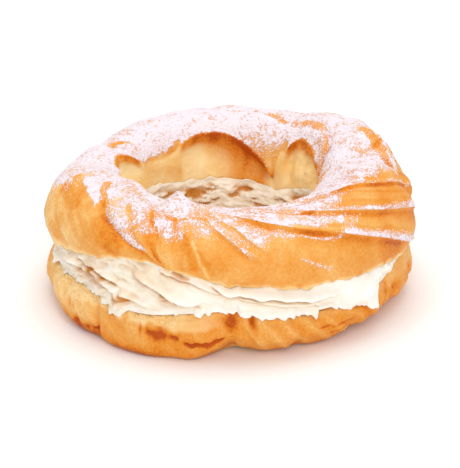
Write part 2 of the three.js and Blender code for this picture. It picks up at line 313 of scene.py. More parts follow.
# %% Helpers for colours and patterns
def between(value, low, high, to_low=0.0, to_high=1.0):
    """the value stretched from one pair of limits to another, and kept inside"""
    return add(value.id_data, "ShaderNodeMapRange", {
        "Value": value, "From Min": low, "From Max": high, "To Min": to_low, "To Max": to_high}).outputs[0]


def ramp(value, stops):
    """colours that follow a value"""
    node = add(value.id_data, "ShaderNodeValToRGB", {"Fac": value})
    elements = node.color_ramp.elements
    while len(elements) < len(stops):
        elements.new(0.5)
    for element, (position, colour) in zip(elements, stops):
        element.position = position
        element.color = (*colour, 1)
    return node.outputs["Color"]


def blend_colours(share, a, b):
    return add(share.id_data, "ShaderNodeMix", {0: share, 6: a, 7: b}, data_type="RGBA").outputs[2]


def own_place(tree):
    """a place on the piece, in its own coordinates"""
    return add(tree, "ShaderNodeTexCoord").outputs["Object"]


def spots(tree, scale, detail=2.0, stretch=None):
    """noise on the piece, where `stretch` makes its lumps long"""
    where = own_place(tree)
    if stretch:
        where = add(tree, "ShaderNodeMapping", {"Vector": where, "Scale": stretch}).outputs[0]
    return add(tree, "ShaderNodeTexNoise", {"Vector": where, "Scale": scale, "Detail": detail}).outputs["Fac"]


def field(tree, name):
    """a number that the mesh carries at its points"""
    return add(tree, "ShaderNodeAttribute", attribute_name=name).outputs["Fac"]


def bump(height, distance, strength):
    """the normal of a surface with this fine relief"""
    return add(height.id_data, "ShaderNodeBump", {
        "Height": height, "Distance": distance, "Strength": strength}).outputs["Normal"]


def srgb(r, g, b):
    """a colour from 0 to 255 as the shader's linear numbers"""
    return tuple(((c / 255 + 0.055) / 1.055) ** 2.4 if c > 10 else c / 255 / 12.92 for c in (r, g, b))


print("middle grey in linear numbers:", srgb(128, 128, 128))

# %% The group for baked crust
PALE_DOUGH = srgb(255, 228, 172)
SOFT_DOUGH = srgb(250, 208, 132)
LIGHT_CRUST = srgb(250, 212, 146)
TAN = srgb(236, 170, 86)
ORANGE = srgb(228, 138, 34)
BROWN = srgb(188, 80, 4)

crust, given, result = new_group(
    "baked crust", "ShaderNodeTree",
    [("Tone", "Float", 0.4), ("Pale", "Float", 0.0), ("Mottle", "Float", 0.2)],
    [("Color", "Color"), ("Height", "Float"), ("Roughness", "Float")])
fine = spots(crust, 900.0, 3.0)
broad, middle = (minus(spots(crust, scale, 3.0), 0.5) for scale in (130.0, 420.0))
mottled = times(plus(broad, times(middle, 0.35)), given["Mottle"])
flecks = times(minus(spots(crust, 1500.0, 2.0), 0.5), 0.55)
baked = ramp(plus(given["Tone"], mottled, flecks),
             [(0.0, LIGHT_CRUST), (0.35, TAN), (0.7, ORANGE), (1.0, BROWN)])
dough = blend_colours(between(broad, -0.15, 0.15), (*PALE_DOUGH, 1), (*SOFT_DOUGH, 1))
pores = add(crust, "ShaderNodeTexVoronoi", {"Vector": own_place(crust), "Scale": 1100.0}).outputs["Distance"]
wrinkles = spots(crust, 620.0, 2.0, (0.4, 0.4, 1.7))
connect(result, {
    "Color": blend_colours(given["Pale"], baked, dough),
    "Height": plus(times(fine, 0.35), times(pores, 0.2), wrinkles, middle),
    "Roughness": plus(times(fine, 0.3), 0.42)})
print("crust group:", len(crust.nodes), "nodes")

# %% [markdown]
# Icing sugar is sieved on. It lies thick where it fell and breaks up into single specks of bare
# crust and of sugar at its edge. The group compares the amount of sugar with noise at the size of
# the specks, about half a millimetre, so a thin dusting becomes many small dots.

# %% The group for icing sugar
icing, given, result = new_group(
    "icing sugar", "ShaderNodeTree",
    [("Amount", "Float", 0.0), ("Speck", "Float", 1.2)],
    [("Mask", "Float"), ("Color", "Color"), ("Height", "Float")])
specks = between(spots(icing, 1500.0, 1.0), 0.25, 0.75)
patches = between(spots(icing, 330.0, 4.0), 0.3, 0.7)
grain = plus(times(specks, 0.55), times(patches, 0.45))
over = minus(times(given["Amount"], 1.12), times(grain, given["Speck"]))
veil = between(given["Amount"], 0.3, 0.85, 0.0, 0.5)
some = between(given["Amount"], 0.02, 0.12)
mask = maths("MAXIMUM", veil, times(between(over, 0.0, 0.14), some))
powder = ramp(minus(plus(over, 0.55), times(specks, 0.3)),
              [(0.3, srgb(228, 200, 196)), (0.8, srgb(244, 232, 238))])
connect(result, {"Mask": mask, "Color": powder, "Height": times(mask, minus(1.2, specks))})
print("icing group:", len(icing.nodes), "nodes")


# %% Materials of the two crusts
def crust_material(name, mottle, gloss, sugared):
    material, tree, shader = new_material(name)
    skin = add(tree, "ShaderNodeGroup", {
        "Tone": field(tree, "tone"), "Pale": field(tree, "pale"), "Mottle": mottle}, node_tree=crust)
    colour, height, rough = (skin.outputs[key] for key in ("Color", "Height", "Roughness"))
    if sugared:
        powder = add(tree, "ShaderNodeGroup", {"Amount": field(tree, "sugar")}, node_tree=icing).outputs
        colour = blend_colours(powder["Mask"], colour, powder["Color"])
        rough = add(tree, "ShaderNodeMix", {0: powder["Mask"], 2: rough, 3: 0.95}).outputs[0]
        height = plus(height, times(powder["Height"], 1.5))
    connect(shader, {"Base Color": colour, "Roughness": rough, "Specular IOR Level": gloss,
                     "Normal": bump(height, 0.0003, 0.6)})
    return material


lid_material = crust_material("lid crust", 0.3, 0.22, True)
base_material = crust_material("base crust", 0.32, 0.2, False)
print("crusts:", lid_material.name, "and", base_material.name)

# %% The cream's material
cream_material, tree, shader = new_material("whipped cream")
soft, shade = spots(tree, 260.0, 3.0), field(tree, "shade")
tint = ramp(soft, [(0.35, srgb(252, 246, 234)), (0.65, srgb(255, 252, 246))])
# painted shade: beige in the shadows of the folds, golden brown in the deepest gaps of the cream in the hole
painted_shade_colours = ramp(shade, [(0.3, srgb(240, 214, 164)), (1.0, srgb(202, 128, 32))])
foam = plus(soft, times(spots(tree, 1100.0, 2.0), 0.4))
connect(shader, {
    "Base Color": blend_colours(shade, tint, painted_shade_colours), "Roughness": 0.42, "Normal": bump(foam, 0.0003, 0.5),
    "Subsurface Weight": 0.12, "Subsurface Radius": (1.0, 0.8, 0.5), "Subsurface Scale": 0.0008})
print("cream:", cream_material.name)


# %% The materials of the loose grains
def grain_material(name, dark, light, roughness):
    material, tree, shader = new_material(name)
    colour = ramp(spots(tree, 500.0, 1.0), [(0.3, srgb(*dark)), (0.7, srgb(*light))])
    connect(shader, {"Base Color": colour, "Roughness": roughness,
                     "Normal": bump(spots(tree, 6000.0), 0.00005, 0.5)})
    return material


sugar_material = grain_material("sugar clumps", (240, 226, 230), (250, 242, 246), 0.9)
crumb_material = grain_material("crumbs", (244, 204, 138), (252, 228, 180), 0.7)
print("grains:", sugar_material.name, "and", crumb_material.name)

# %% [markdown]
# ## From sections to meshes
#
# Each ring is a grid of points, closed both ways. The big forms come from the grid itself. The
# small lumps and wrinkles of a baked skin follow the surface everywhere, so one Geometry Nodes
# tree adds them to all three rings, by a height that a field can fade out.

# %% The relief tree
relief, given, result = new_group(
    "surface relief", "GeometryNodeTree",
    [("Geometry", "Geometry", None), ("Lump Size", "Float", 0.005), ("Lump Height", "Float", 0.0003),
     ("Wrinkle Size", "Float", 0.0015), ("Wrinkle Height", "Float", 0.0001), ("Seed", "Float", 1.0),
     ("Finish", "Material", None)],
    [("Geometry", "Geometry")])
where = add(relief, "GeometryNodeInputPosition").outputs[0]
facing = add(relief, "GeometryNodeInputNormal").outputs[0]
shown = add(relief, "GeometryNodeInputNamedAttribute", {"Name": "relief"}, data_type="FLOAT").outputs[0]


def relief_layer(kind):
    """noise from -1.5 to 1.5 times a height, with lumps of a size"""
    scale = maths("DIVIDE", 1.0, given[kind + " Size"])
    lumps = add(relief, "ShaderNodeTexNoise", {
        "Vector": where, "W": given["Seed"], "Scale": scale, "Detail": 2.0}, noise_dimensions="4D").outputs[0]
    return times(minus(lumps, 0.5), times(given[kind + " Height"], 3.0))


def end_tree(tree, geometry, finish, result):
    """makes copies real and gives them their finish"""
    real = add(tree, "GeometryNodeRealizeInstances", {"Geometry": geometry})
    finished = add(tree, "GeometryNodeSetMaterial", {"Geometry": real.outputs[0], "Material": finish})
    connect(result, {0: finished.outputs[0]})


height = times(plus(relief_layer("Lump"), relief_layer("Wrinkle")), shown)
push = add(relief, "ShaderNodeVectorMath", {0: facing, "Scale": height}, operation="SCALE").outputs[0]
moved = add(relief, "GeometryNodeSetPosition", {"Geometry": given["Geometry"], "Offset": push})
end_tree(relief, moved.outputs[0], given["Finish"], result)
print("relief tree:", len(relief.nodes), "nodes")


# %% Use a tree and keep its result
def made_by(tree, name, source, values):
    """a new plain mesh object: the source's mesh, changed by the tree with these named inputs"""
    maker = put(name, source)
    nodes = maker.modifiers.new(tree.name, "NODES")
    nodes.node_group = tree
    sockets = {item.name: item.identifier for item in tree.interface.items_tree if item.in_out == "INPUT"}
    for label, value in values.items():
        nodes[sockets[label]] = value
    bpy.context.view_layer.update()
    graph = bpy.context.evaluated_depsgraph_get()
    mesh = bpy.data.meshes.new_from_object(maker.evaluated_get(graph), preserve_all_data_layers=True,
                                           depsgraph=graph)
    mesh.name = name
    maker.modifiers.remove(nodes)
    bpy.data.objects.remove(maker)
    piece = put(name, mesh)
    print(name, len(mesh.vertices), "points and", len(mesh.polygons), "faces")
    return piece


# %% From a grid to a mesh
def set_field(mesh, name, values):
    """writes one number for each point of a mesh"""
    mesh.attributes.new(name, "FLOAT", "POINT").data.foreach_set("value", values.astype(np.float32).ravel())


def ring_object(name, points, fields, finish, lump, wrinkle):
    """a closed ring of four-sided faces with named fields, and relief of these sizes and heights"""
    n, m = points.shape[:2]
    i, j = np.meshgrid(np.arange(n), np.arange(m), indexing="ij")
    after_i, after_j = (i + 1) % n, (j + 1) % m
    corners = np.stack([i * m + j, after_i * m + j, after_i * m + after_j, i * m + after_j], -1)
    mesh = bpy.data.meshes.new(name + " grid")
    mesh.vertices.add(n * m)
    mesh.vertices.foreach_set("co", (points.reshape(-1, 3) * 0.001).ravel())
    mesh.loops.add(4 * n * m)
    mesh.loops.foreach_set("vertex_index", corners.ravel().astype(np.int32))
    mesh.polygons.add(n * m)
    mesh.polygons.foreach_set("loop_start", np.arange(0, 4 * n * m, 4, dtype=np.int32))
    mesh.polygons.foreach_set("loop_total", np.full(n * m, 4, dtype=np.int32))
    mesh.update(calc_edges=True)
    mesh.validate()
    mesh.shade_smooth()
    for label, values in fields.items():
        set_field(mesh, label, np.broadcast_to(values, (n, m)))
    piece = made_by(relief, name, mesh, {
        "Lump Size": lump[0], "Lump Height": lump[1], "Wrinkle Size": wrinkle[0],
        "Wrinkle Height": wrinkle[1], "Seed": 7.0, "Finish": finish})
    return piece


print("rings are made with", relief.name)

# %% [markdown]
# ## The lid's form
#
# The lid is the upper half of the ring. Its section goes from the outer lower edge (section angle
# 0) over the crest (90) to the inner lower edge (180). The lid has slipped and lifted at the left
# front, where the edge is highest, and sits low at the right.

# %% Outline of the lid
def lid_outline(phi):
    """outer reach, inner lip, heights of the outer edge, lip and crest, and tuck of the outer edge"""
    reach = swells(phi, 50.0, (0.9, -168, 30), (-3.6, 146, 26), (1.9, 42, 15), (1.2, -12, 14),
                   (1.8, 21, 9), (-1.4, 2, 6), (-0.6, 176, 12))
    lip = swells(phi, 26.2, (0.9, 95, 35), (-0.9, -95, 40), (-1.8, -150, 20), (-4.4, -15, 30))
    edge_z = swells(phi, 18.6, (6.0, -122, 22), (1.3, -95, 16), (0.9, -82, 12), (-2.4, 6, 24),
                    (0.8, 150, 50), (1.9, -111, 17), (0.9, -72, 20), (1.7, -149, 13), (-1.0, -24, 12))
    lip_z = swells(phi, 23.0, (1.2, -120, 50), (-2.6, 108, 28), (-4.6, 62, 24))
    crest_z = swells(phi, 37.4, (0.3, 95, 40), (2.7, 38, 17), (-0.8, -60, 40), (-1.5, 150, 30),
                     (0.5, -165, 30), (1.5, 19, 8), (-1.0, 1, 7), (-1.3, 178, 13), (-0.6, 60, 9))
    return reach, lip, edge_z, lip_z, crest_z, swells(phi, 1.8, (1.6, 178, 24))


def lid_form(phi, theta):
    """radius and height of the smooth lid"""
    reach, lip, edge_z, lip_z, crest_z, tuck = lid_outline(phi)
    crest_r = (reach + lip) / 2 - 0.3
    across = np.abs(np.cos(np.radians(theta)))
    up = np.abs(np.sin(np.radians(theta)))
    tucked = tuck * np.clip(1 - theta / 22, 0, 1) ** 2
    outside = theta <= 90
    r = np.where(outside, mix(crest_r, reach, across ** 0.86) - tucked, mix(crest_r, lip, across ** 0.8))
    z = np.where(outside, mix(edge_z, crest_z, up ** 0.95), mix(lip_z, crest_z, up ** 0.9))
    return r, z


def lid_underside_z(phi, r):
    inner_r, inner_z = lid_form(phi, 180.0)
    outer_r, outer_z = lid_form(phi, 0.0)
    return mix(inner_z, outer_z, (r - inner_r) / (outer_r - inner_r))


print("crest height at the front:", float(lid_outline(-90.0)[4]))

# %% [markdown]
# ## Ridges
#
# A star nozzle leaves ridges, and the turn of the hand drags them round the ring: each one crosses
# the crest at its own turn angle, sweeps on towards the outer edge and back towards the hole. At
# the front right they became ledges, sharp above a hollow. At the right and the back they stayed
# round lobes with grooves between. The mesh follows the ridges, so a ledge stays sharp with few
# faces.

# %% Ridge lines
RIDGES = [
    # crest, sweep out, sweep in, ledge, hollow, lobe, shown from, to, dust, columns
    (-144, 32, 15, 0.00, 0.00, 0.30, 0, 90, 0.0, 34),
    (-129, 19, 25, 0.18, 0.20, 0.20, 5, 80, 0.2, 26),
    (-117, 9, 30, 0.05, 0.30, 0.30, 0, 75, 0.0, 20),
    (-108, 6, 32, 0.05, 0.34, 0.40, 0, 70, 0.0, 26),
    (-102, 30, 34, 0.35, 0.45, 0.15, 33, 80, 0.7, 24),
    (-97, 32, 36, 0.38, 0.48, 0.10, 42, 86, 0.75, 64),
    (-93, 83, 38, 0.75, 0.60, 0.20, 9, 78, 1.0, 50),
    (-66, 83, 45, 0.60, 0.45, 0.40, 20, 86, 0.8, 56),
    (-30, 56, 45, 0.55, 0.50, 1.40, 30, 100, 0.45, 56),
    (12, 30, 45, 0.20, 0.60, 1.60, 20, 84, 0.3, 44),
    (38, 35, 46, 0.30, 0.40, 1.00, 10, 80, 0.3, 48),
    (72, 45, 50, 0.00, 0.00, 0.50, 10, 80, 0.0, 42),
    (92, 40, 42, 0.50, 0.60, 0.50, 8, 70, 0.3, 40),
    (118, 35, 34, 0.50, 0.60, 0.50, 8, 70, 0.3, 38),
    (142, 30, 28, 0.45, 0.60, 0.50, 8, 70, 0.3, 36),
    (166, 25, 22, 0.35, 0.40, 0.40, 8, 66, 0.2, 38),
    (190, 25, 18, 0.10, 0.20, 0.30, 8, 60, 0.0, 42),
]
CREST, OUT, IN, LEDGE, HOLLOW, LOBE, FROM, TO, DUST, COLUMNS = np.array(RIDGES, float).T
COUNT = len(RIDGES)
FRONT_JOIN, BROAD_LEDGE, BACK_JOIN = 0, 7, 11          # ridges that something else follows
EVERY_LINE = np.arange(COUNT + 1)[:, None]             # the last is the first again, a turn later


def ridge_lines(theta):
    """turn angle of each ridge line at these section angles"""
    k, turns = EVERY_LINE % COUNT, EVERY_LINE // COUNT
    outwards = np.clip(1 - theta / 90, 0, 1) ** 1.1
    inwards = np.interp(theta, [90, 98, 105, 120, 140], [0, 0.35, 0.6, 1.0, 1.05])
    wander = 0.7 * np.sin(theta / 11.0 + 1.7 * k) + 0.4 * np.sin(theta / 5.3 + 2.9 * k)
    return CREST[k] + 360 * turns + OUT[k] * outwards - IN[k] * inwards + wander


this = np.repeat(np.arange(COUNT), COLUMNS.astype(int))   # the ridge before each column of points
after = (this + 1) % COUNT
share = np.concatenate([np.arange(n) / n for n in COLUMNS])[:, None]
print(COUNT, "ridges and", len(this), "columns")

# %% [markdown]
# Inside the hole, steam has torn the wall: a curled lip of crust hangs over a hollow of pale, soft
# dough. Each tear is an arch, highest in its middle.

# %% The torn hollows
HOLLOWS = [  # turn angles of start, peak and end; section angles of the torn edge there; how it bends
             # before and after the peak; depth; softness of start and end
    (123, 103, 59, 149, 132, 176, 1.45, 1.45, 3.6, 0.9, 0.3),
    (176, 168, 145, 122, 115, 160, 1.1, 1.1, 2.4, 0.3, 0.9),
    (58, 45, 6, 152, 133, 174, 1.9, 0.7, 1.5, 0.5, 0.4),
]
ARCH, ARCH_SPAN = 0.15, 0.861                          # how round the top of an arch is


def hollow_edge(phi):
    """section angle of the torn edge, and the depth of the hollow below it"""
    edge = swells(phi, 146, (24, 69, 5), (8, 134, 12), (-12, -175, 12))
    depth = np.zeros(np.shape(phi))
    for start, peak, end, high, top, low, bend_start, bend_end, deep, soft_start, soft_end in HOLLOWS:
        off = wrap(phi - peak)
        first = off > 0
        along = off / np.where(first, wrap(start - peak), wrap(end - peak))
        torn = ease(1 - along, 0, np.where(first, soft_start, soft_end))
        fall = (np.hypot(np.clip(along, 0, 1), ARCH) - ARCH) / ARCH_SPAN
        line = mix(top, np.where(first, high, low), fall ** np.where(first, bend_start, bend_end))
        edge = np.where(along < 1, mix(edge, line, ease(1 - along, 0, 0.12)), edge)
        depth = np.where(along < 1, np.maximum(depth, deep * torn), depth)
    return edge, depth


print(len(HOLLOWS), "tears")

# %% Points of the lid
FLANK, SHOULDER, TEAR = 24.0, 104.0, 140.0             # section angles where the rows' spacing changes
theta_out = np.concatenate([steps(0, FLANK, 16), steps(FLANK, SHOULDER, 54)])
shoulder = steps(0, 1, 12)
wall = np.concatenate([steps(0, 0.16, 10), np.linspace(0.16, 1, 22)])
shoulder_row, torn_row = len(theta_out), len(theta_out) + len(shoulder)
rows_seen, rows_under = torn_row + len(wall), 24

theta_even = np.concatenate([theta_out, mix(SHOULDER, TEAR, shoulder), mix(TEAR, 180.0, wall)])
lines = ridge_lines(theta_even)
phi_all = mix(lines[this], lines[this + 1], share)
edge, depth = hollow_edge(phi_all)
frayed = swells(phi_all, 1.0, (2.0, 36, 26)) * noise(*circle(phi_all, 27), 0, 3.0, 61)
edge = edge + frayed * ease(depth, 0.1, 1.5)
theta_all = np.concatenate([
    np.broadcast_to(theta_out, (len(this), shoulder_row)),
    mix(SHOULDER, edge[:, shoulder_row:torn_row], shoulder),
    mix(edge[:, torn_row:], 180.0, wall)], 1)
below = np.concatenate([np.full(torn_row, -1.0), wall])[None, :]   # 0 at the torn edge, 1 at the lip
print("lid rows:", shoulder_row, "outside,", rows_seen - shoulder_row, "inside,", rows_under, "under")

# %% Depth of the tears
torn_depth = 0.85 * depth * ease(below, -0.02, 0.5) * (1 - 0.65 * ease(below, 0.4, 1.0))
rough_wall = layered(*circle(phi_all, 26), 0.2 * theta_all, 2.6, 78, 3)
torn_depth = torn_depth + (swells(phi_all, 0.25, (1.2, 38, 26)) * ease(depth, 0.1, 1.0)
                           * span(below, 0.02, 0.12, 0.8, 1.0) * rough_wall)
lip_curl = 0.25 * ease(depth, 0.2, 1.2) * bell(below - 0.01, 0.05)
show("the tears' depth runs", torn_depth)

# %% Ledges, hollows and lobes along the ridges
MM_PER_DEGREE = 0.23                                   # length of the section for one degree of it

smooth_r, smooth_z = lid_form(phi_all, theta_all)
gap = np.radians(np.diff(lines, axis=0)[this]) * smooth_r
slope = (ridge_lines(theta_even + 1) - ridge_lines(theta_even - 1)) / 2


def across(line):
    """how much of a distance round the ring counts at right angles to a slanting ridge line"""
    return 1 / np.hypot(1, np.radians(slope[line]) * smooth_r / MM_PER_DEGREE)


past = share * gap * across(this)                      # millimetres from the two ridge lines
ahead = (1 - share) * gap * across(this + 1)
low, high = FROM[:, None], TO[:, None]
shown = span(theta_even, low - 12, low + 6, high - 8, high + 14)
ledges = LEDGE[:, None] * shown
hollow_after = (HOLLOW[:, None] * shown)[after]

ridge_relief = (ledges[this] * np.exp(-past / 1.7) + ledges[after] * np.exp(-ahead / 0.35)
                - hollow_after * (ahead / 0.9) * np.exp(1 - ahead / 0.9))
lobes = LOBE[this][:, None] * (np.sin(np.pi * share) ** 0.75 - 0.6) * span(theta_even, 4, 26, 74, 104)
show("ridge relief", ridge_relief)

# %% [markdown]
# Where the piping starts and ends, one end of the strand lies over the other. The upper lobe rolls
# down into the join, and the lower one comes out from under it.

# %% The two joins
JOINS = [  # ridge, depth, breadth of the roll and of the valley, shown from, to
    (FRONT_JOIN, 1.0, 4.5, 1.5, 6, 70),
    (BACK_JOIN, 0.6, 2.0, 2.6, 88, 150),
]
join_relief, join_roll, join_valley, join_band = np.zeros((4, *phi_all.shape))
for index, deep, roll, valley, from_angle, to_angle in JOINS:
    here = span(theta_even, from_angle - 6, from_angle + 12, to_angle - 14, to_angle + 8)
    over = (after == index)[:, None] * np.clip(1 - ahead / roll, 0, 1) ** 2 * here
    beneath = (this == index)[:, None] * np.exp(-past / valley) * here
    join_relief += deep * (over + beneath)
    join_roll += over
    join_valley += beneath
    if index == BACK_JOIN:
        join_band += (this == index)[:, None] * 0.7 * ease(past, 6.0, 2.6) * here
show("joins", join_relief)

# %% [markdown]
# Small ledges that don't reach the crest follow lines of their own: a short arc under the big
# ledge, and a faint step lower down.

# %% Short ledges
SHORT_LEDGES = [  # turn angles, section angles, height, hollow: depth, distance, half breadth; dust
    ((-71, -68, -64.5, -59.5, -53, -50), (53, 50.5, 46.5, 41, 39.5, 40), 0.50, 0.38, 2.2, 1.1, 0.9),
    ((-70, -67.5, -63.5, -57), (27, 25, 19, 11), 0.30, 0.0, 1.0, 1.0, 0.65),
    ((146, 146.5, 149, 153.5, 158, 162), (112, 108, 96.5, 91, 93, 97), 0.12, 0.65, 1.0, 1.0, 0.0),
]
# the hollow under each short ledge: it bares the sugar and is painted darker as shade
short_relief, short_dust, short_shaded_hollow = np.zeros((3, *phi_all.shape))
for turns, angles, height, deep, at, broad, dust in SHORT_LEDGES:
    along = (wrap(phi_all) - turns[0]) / (turns[-1] - turns[0])
    d = (theta_all - np.interp(wrap(phi_all), turns, angles)) * MM_PER_DEGREE   # beyond the line
    ends = span(along, 0, 0.2, 0.8, 1.0)
    dent = ends * bell(d - at, broad)
    short_relief += height * ends * np.where(d > 0, np.exp(-d / 1.2), np.exp(d / 0.35)) - deep * dent
    short_dust += dust * ends * bell(d - 0.45, 0.5)
    short_shaded_hollow += dent if deep else 0
show("short ledges", short_relief)

# %% [markdown]
# A few broad swellings and dips make the outline uneven. At the back right the crust above the
# tear is lumpy, as if a finger had pressed it.

# %% Swellings of the outline
KNOBS = [  # turn angle, section angle, height, half breadth in turn and in section
    (6, 29, 2.3, 5, 9), (16, 42, -1.9, 7, 13), (17, 68, 0.8, 4, 7), (27, 66, -1.2, 5, 12),
    (158, 50, -1.8, 12, 20), (-112, 99, 3.2, 4, 12), (-103, 97, 1.3, 9, 12), (-121, 102, -1.2, 5, 12),
    (-142, 112, 1.7, 10, 14)]
knobs = sum(height * swell(phi_all, at, wide) * bell(theta_all - up, tall)
            for at, up, height, wide, tall in KNOBS)
lump_zone = swell(phi_all, 32, 20) * span(theta_all, 108, 120, 158, 170)
show("swellings", knobs)

# %% Shape of the lid
x, y = circle(phi_all, smooth_r)
out = ((ridge_relief + lobes) * ease(theta_all, 0, 9) - join_relief + short_relief + knobs
       + 0.8 * lump_zone * layered(x, y, smooth_z, 3.2, 76, 3) + 0.45 * noise(x, y, smooth_z, 9.0, 72))
ragged_edge = 0.8 * layered(x, y, 0, 2.2, 73, 2) * ease(theta_all, 7, 0)
ragged_lip = ease(theta_all, 172, 180) * (0.5 + layered(x, y, 0, 2.6, 74, 2))
before = lid_form(phi_all, np.maximum(theta_all - 1, 0))
beyond = lid_form(phi_all, np.minimum(theta_all + 1, 180))
step_r, step_z = beyond[0] - before[0], beyond[1] - before[1]
length = np.hypot(step_r, step_z) + 1e-9
lid_r = smooth_r + out * step_z / length + torn_depth - lip_curl
lid_z = smooth_z - out * step_r / length + ragged_edge + 0.8 * np.clip(ragged_lip, 0, 1)

under = np.linspace(0, 1, rows_under + 2)[1:-1]
under_phi = mix(phi_all[:, -1:], phi_all[:, :1], under)
under_r = mix(lid_r[:, -1:], lid_r[:, :1], under)
under_z = lid_underside_z(under_phi, under_r) + 0.5 * np.sin(np.pi * under)
for column, nearness in ((slice(0, 1), under), (slice(-1, None), 1 - under)):
    lifted = lid_z[:, column] - lid_underside_z(phi_all[:, column], lid_r[:, column])
    under_z = under_z + lifted * nearness ** 6
lid_points = np.concatenate([place(phi_all, lid_r, lid_z), place(under_phi, under_r, under_z)], 1)
print("lid points:", lid_points.shape)

# %% [markdown]
# Sugar lies where the crust faces the sieve. It covers the crown, ends in a ragged line at the
# front, lines the ledges, and leaves the hollows below them bare. Crust is palest where it was
# sheltered or stretched late, and deep orange on curled edges. Painted shade adds deeper orange
# in the joins, in the hollows under the ledges and under the torn lips, and leaves crests lighter.

# %% Smears in the sugar, where a finger or the wind has been
SMEARS = [  # turn and section angle of the two ends, half breadth, change of sugar and of tone
    (-162, 76, -141.5, 56, 1.5, -0.9, 0.10), (-156, 81, -141, 67, 1.7, 0.55, 0.0),
    (-161, 57, -147, 49, 1.7, 0.0, 0.26), (-149, 91, -137, 66, 1.0, -0.6, 0.14),
    (-128, 76, -122, 53, 0.6, -0.3, 0.08), (-118, 78, -114.5, 54, 0.5, -0.3, 0.06),
    (-111, 70, -105, 72, 0.6, -0.3, 0.10), (-103, 77, -98, 76, 0.5, -0.3, 0.10),
    (-104, 48, -99.5, 14, 1.2, 0.0, 0.24), (-101, 42, -95.5, 6, 0.45, 0.0, -0.30),
    (-98, 30, -94.5, 10, 0.8, 0.0, 0.16), (-113, 30, -110.5, 8, 0.7, 0.0, 0.18),
    (-134, 40, -125, 14, 3.0, 0.0, 0.20),
    (146, 156, 126, 176, 1.6, 0.0, 0.12),
    (23, 85, 2, 62, 1.3, -0.75, 0.12),
    (-76, 88, -69, 84, 0.22, -0.6, 0.25), (-69, 84, -58, 79, 0.3, -0.5, 0.20),
    (-67, 96, -59, 94, 0.22, -0.6, 0.25),
    (-88, 83, -80, 73, 0.25, -0.5, 0.20)]
SMEAR_R = 42                                           # radius where most smears lie, in millimetres
x, y, z = (lid_points[:, :rows_seen, axis] for axis in range(3))
fuzz = 1 + 0.5 * layered(x, y, z, 2.4, 57, 2)
smear_sugar, smear_tone = np.zeros((2, *phi_all.shape))
for turn_a, angle_a, turn_b, angle_b, broad, more_sugar, more_tone in SMEARS:
    u, v = np.radians(wrap(phi_all - turn_a)) * smooth_r, (theta_all - angle_a) * MM_PER_DEGREE
    length_u, length_v = math.radians(turn_b - turn_a) * SMEAR_R, (angle_b - angle_a) * MM_PER_DEGREE
    t = np.clip((u * length_u + v * length_v) / (length_u ** 2 + length_v ** 2), 0, 1)
    near = ease(np.hypot(u - t * length_u, v - t * length_v) / fuzz, 1.4 * broad, 0.6 * broad)
    smear_sugar += more_sugar * near
    smear_tone += more_tone * near
print(len(SMEARS), "smears")

# %% Where the sugar lies
SUGAR_FROM = [  # turn angle, section angle
    (-180, 43), (-172, 44), (-167, 48), (-164, 58), (-160, 70), (-156, 70), (-150, 69), (-141, 60),
    (-135, 48), (-126, 43), (-118, 40), (-109, 41), (-95, 54), (-89, 44), (-80, 42), (-72, 54),
    (-62, 50), (-50, 50), (-41, 58), (-35, 71), (-29, 81), (-20, 81), (-13, 74), (-4, 60), (5, 52),
    (22, 60), (34, 60), (46, 46), (60, 38), (135, 42), (180, 45)]
facing = normals_of(lid_points)[:, :rows_seen, 2]
ragged = 6 * noise(x, y, z, 5.0, 51) + 5 * noise(x, y, z, 2.0, 52)
start = (np.interp(wrap(phi_all), *zip(*SUGAR_FROM)) + ragged
         + 28 * (this == BROAD_LEDGE)[:, None] * swell(phi_all, -44, 16))
patchy = swell(phi_all, -114, 38) * ease(theta_all, 84, 64)
thick = (swells(phi_all, 0.76, (0.12, 120, 85), (-0.08, -135, 18))
         + 0.14 * noise(x, y, z, 6.0, 53) + 0.08 * noise(x, y, z, 2.5, 54)
         - patchy * (0.08 + 0.28 * ease(noise(x, y, 0.5 * z, 3.4, 55), 0.0, 0.45)))
wedge = (this == FRONT_JOIN)[:, None] * span(theta_all, 12, 20, 60, 80) * np.exp(
    -(past / (3.8 + 1.2 * noise(x, y, z, 2.5, 56))) ** 4)
sugar = thick * ease(theta_all - start, -13, 11)
sugar = np.maximum(sugar, 0.32 * swell(phi_all, -160, 15) * ease(theta_all + 0.6 * ragged, 42, 62))
sugar = np.maximum(sugar * ease(facing, 0.12, 0.5), 0.6 * wedge)
show("the dusting starts", start, "degrees up the side")

# %% What bares it and what catches it
# the hollow under each ledge: it bares the sugar, and the tone paints shade into it
bare_shaded_hollow = hollow_after * bell(ahead - 0.6, 0.85)
bared = 1.1 * bare_shaded_hollow + join_band * (0.8 + 0.7 * noise(x, y, z, 1.7, 58))
sugar = np.clip(sugar + smear_sugar, 0.35 * sugar, 1) * (1 - np.clip(bared, 0, 0.9))
dust = DUST[this][:, None]
on_ledge = dust * shown[this] * bell(np.maximum(past - 0.4, 0), 0.3 + 0.9 * dust)
sugar = np.maximum(sugar, 0.85 * np.maximum(on_ledge, short_dust))
at_front_join = (after == FRONT_JOIN)[:, None]
sugar = sugar * ease(join_roll * at_front_join, 0.3, 0.08) * (1 - np.clip(1.2 * short_shaded_hollow, 0, 1))
past_edge = theta_all - edge + np.where(depth > 0.5, 0, 6 + ragged)
on_lumps = 0.7 * lump_zone * ease(noise(x, y, z, 2.4, 77), -0.5, 0.1) * ease(past_edge, 0, -3)
sugar = np.maximum(sugar * ease(past_edge, 1, -3), on_lumps)
print("share of the seen points with much sugar:", round(float((sugar > 0.5).mean()), 2))
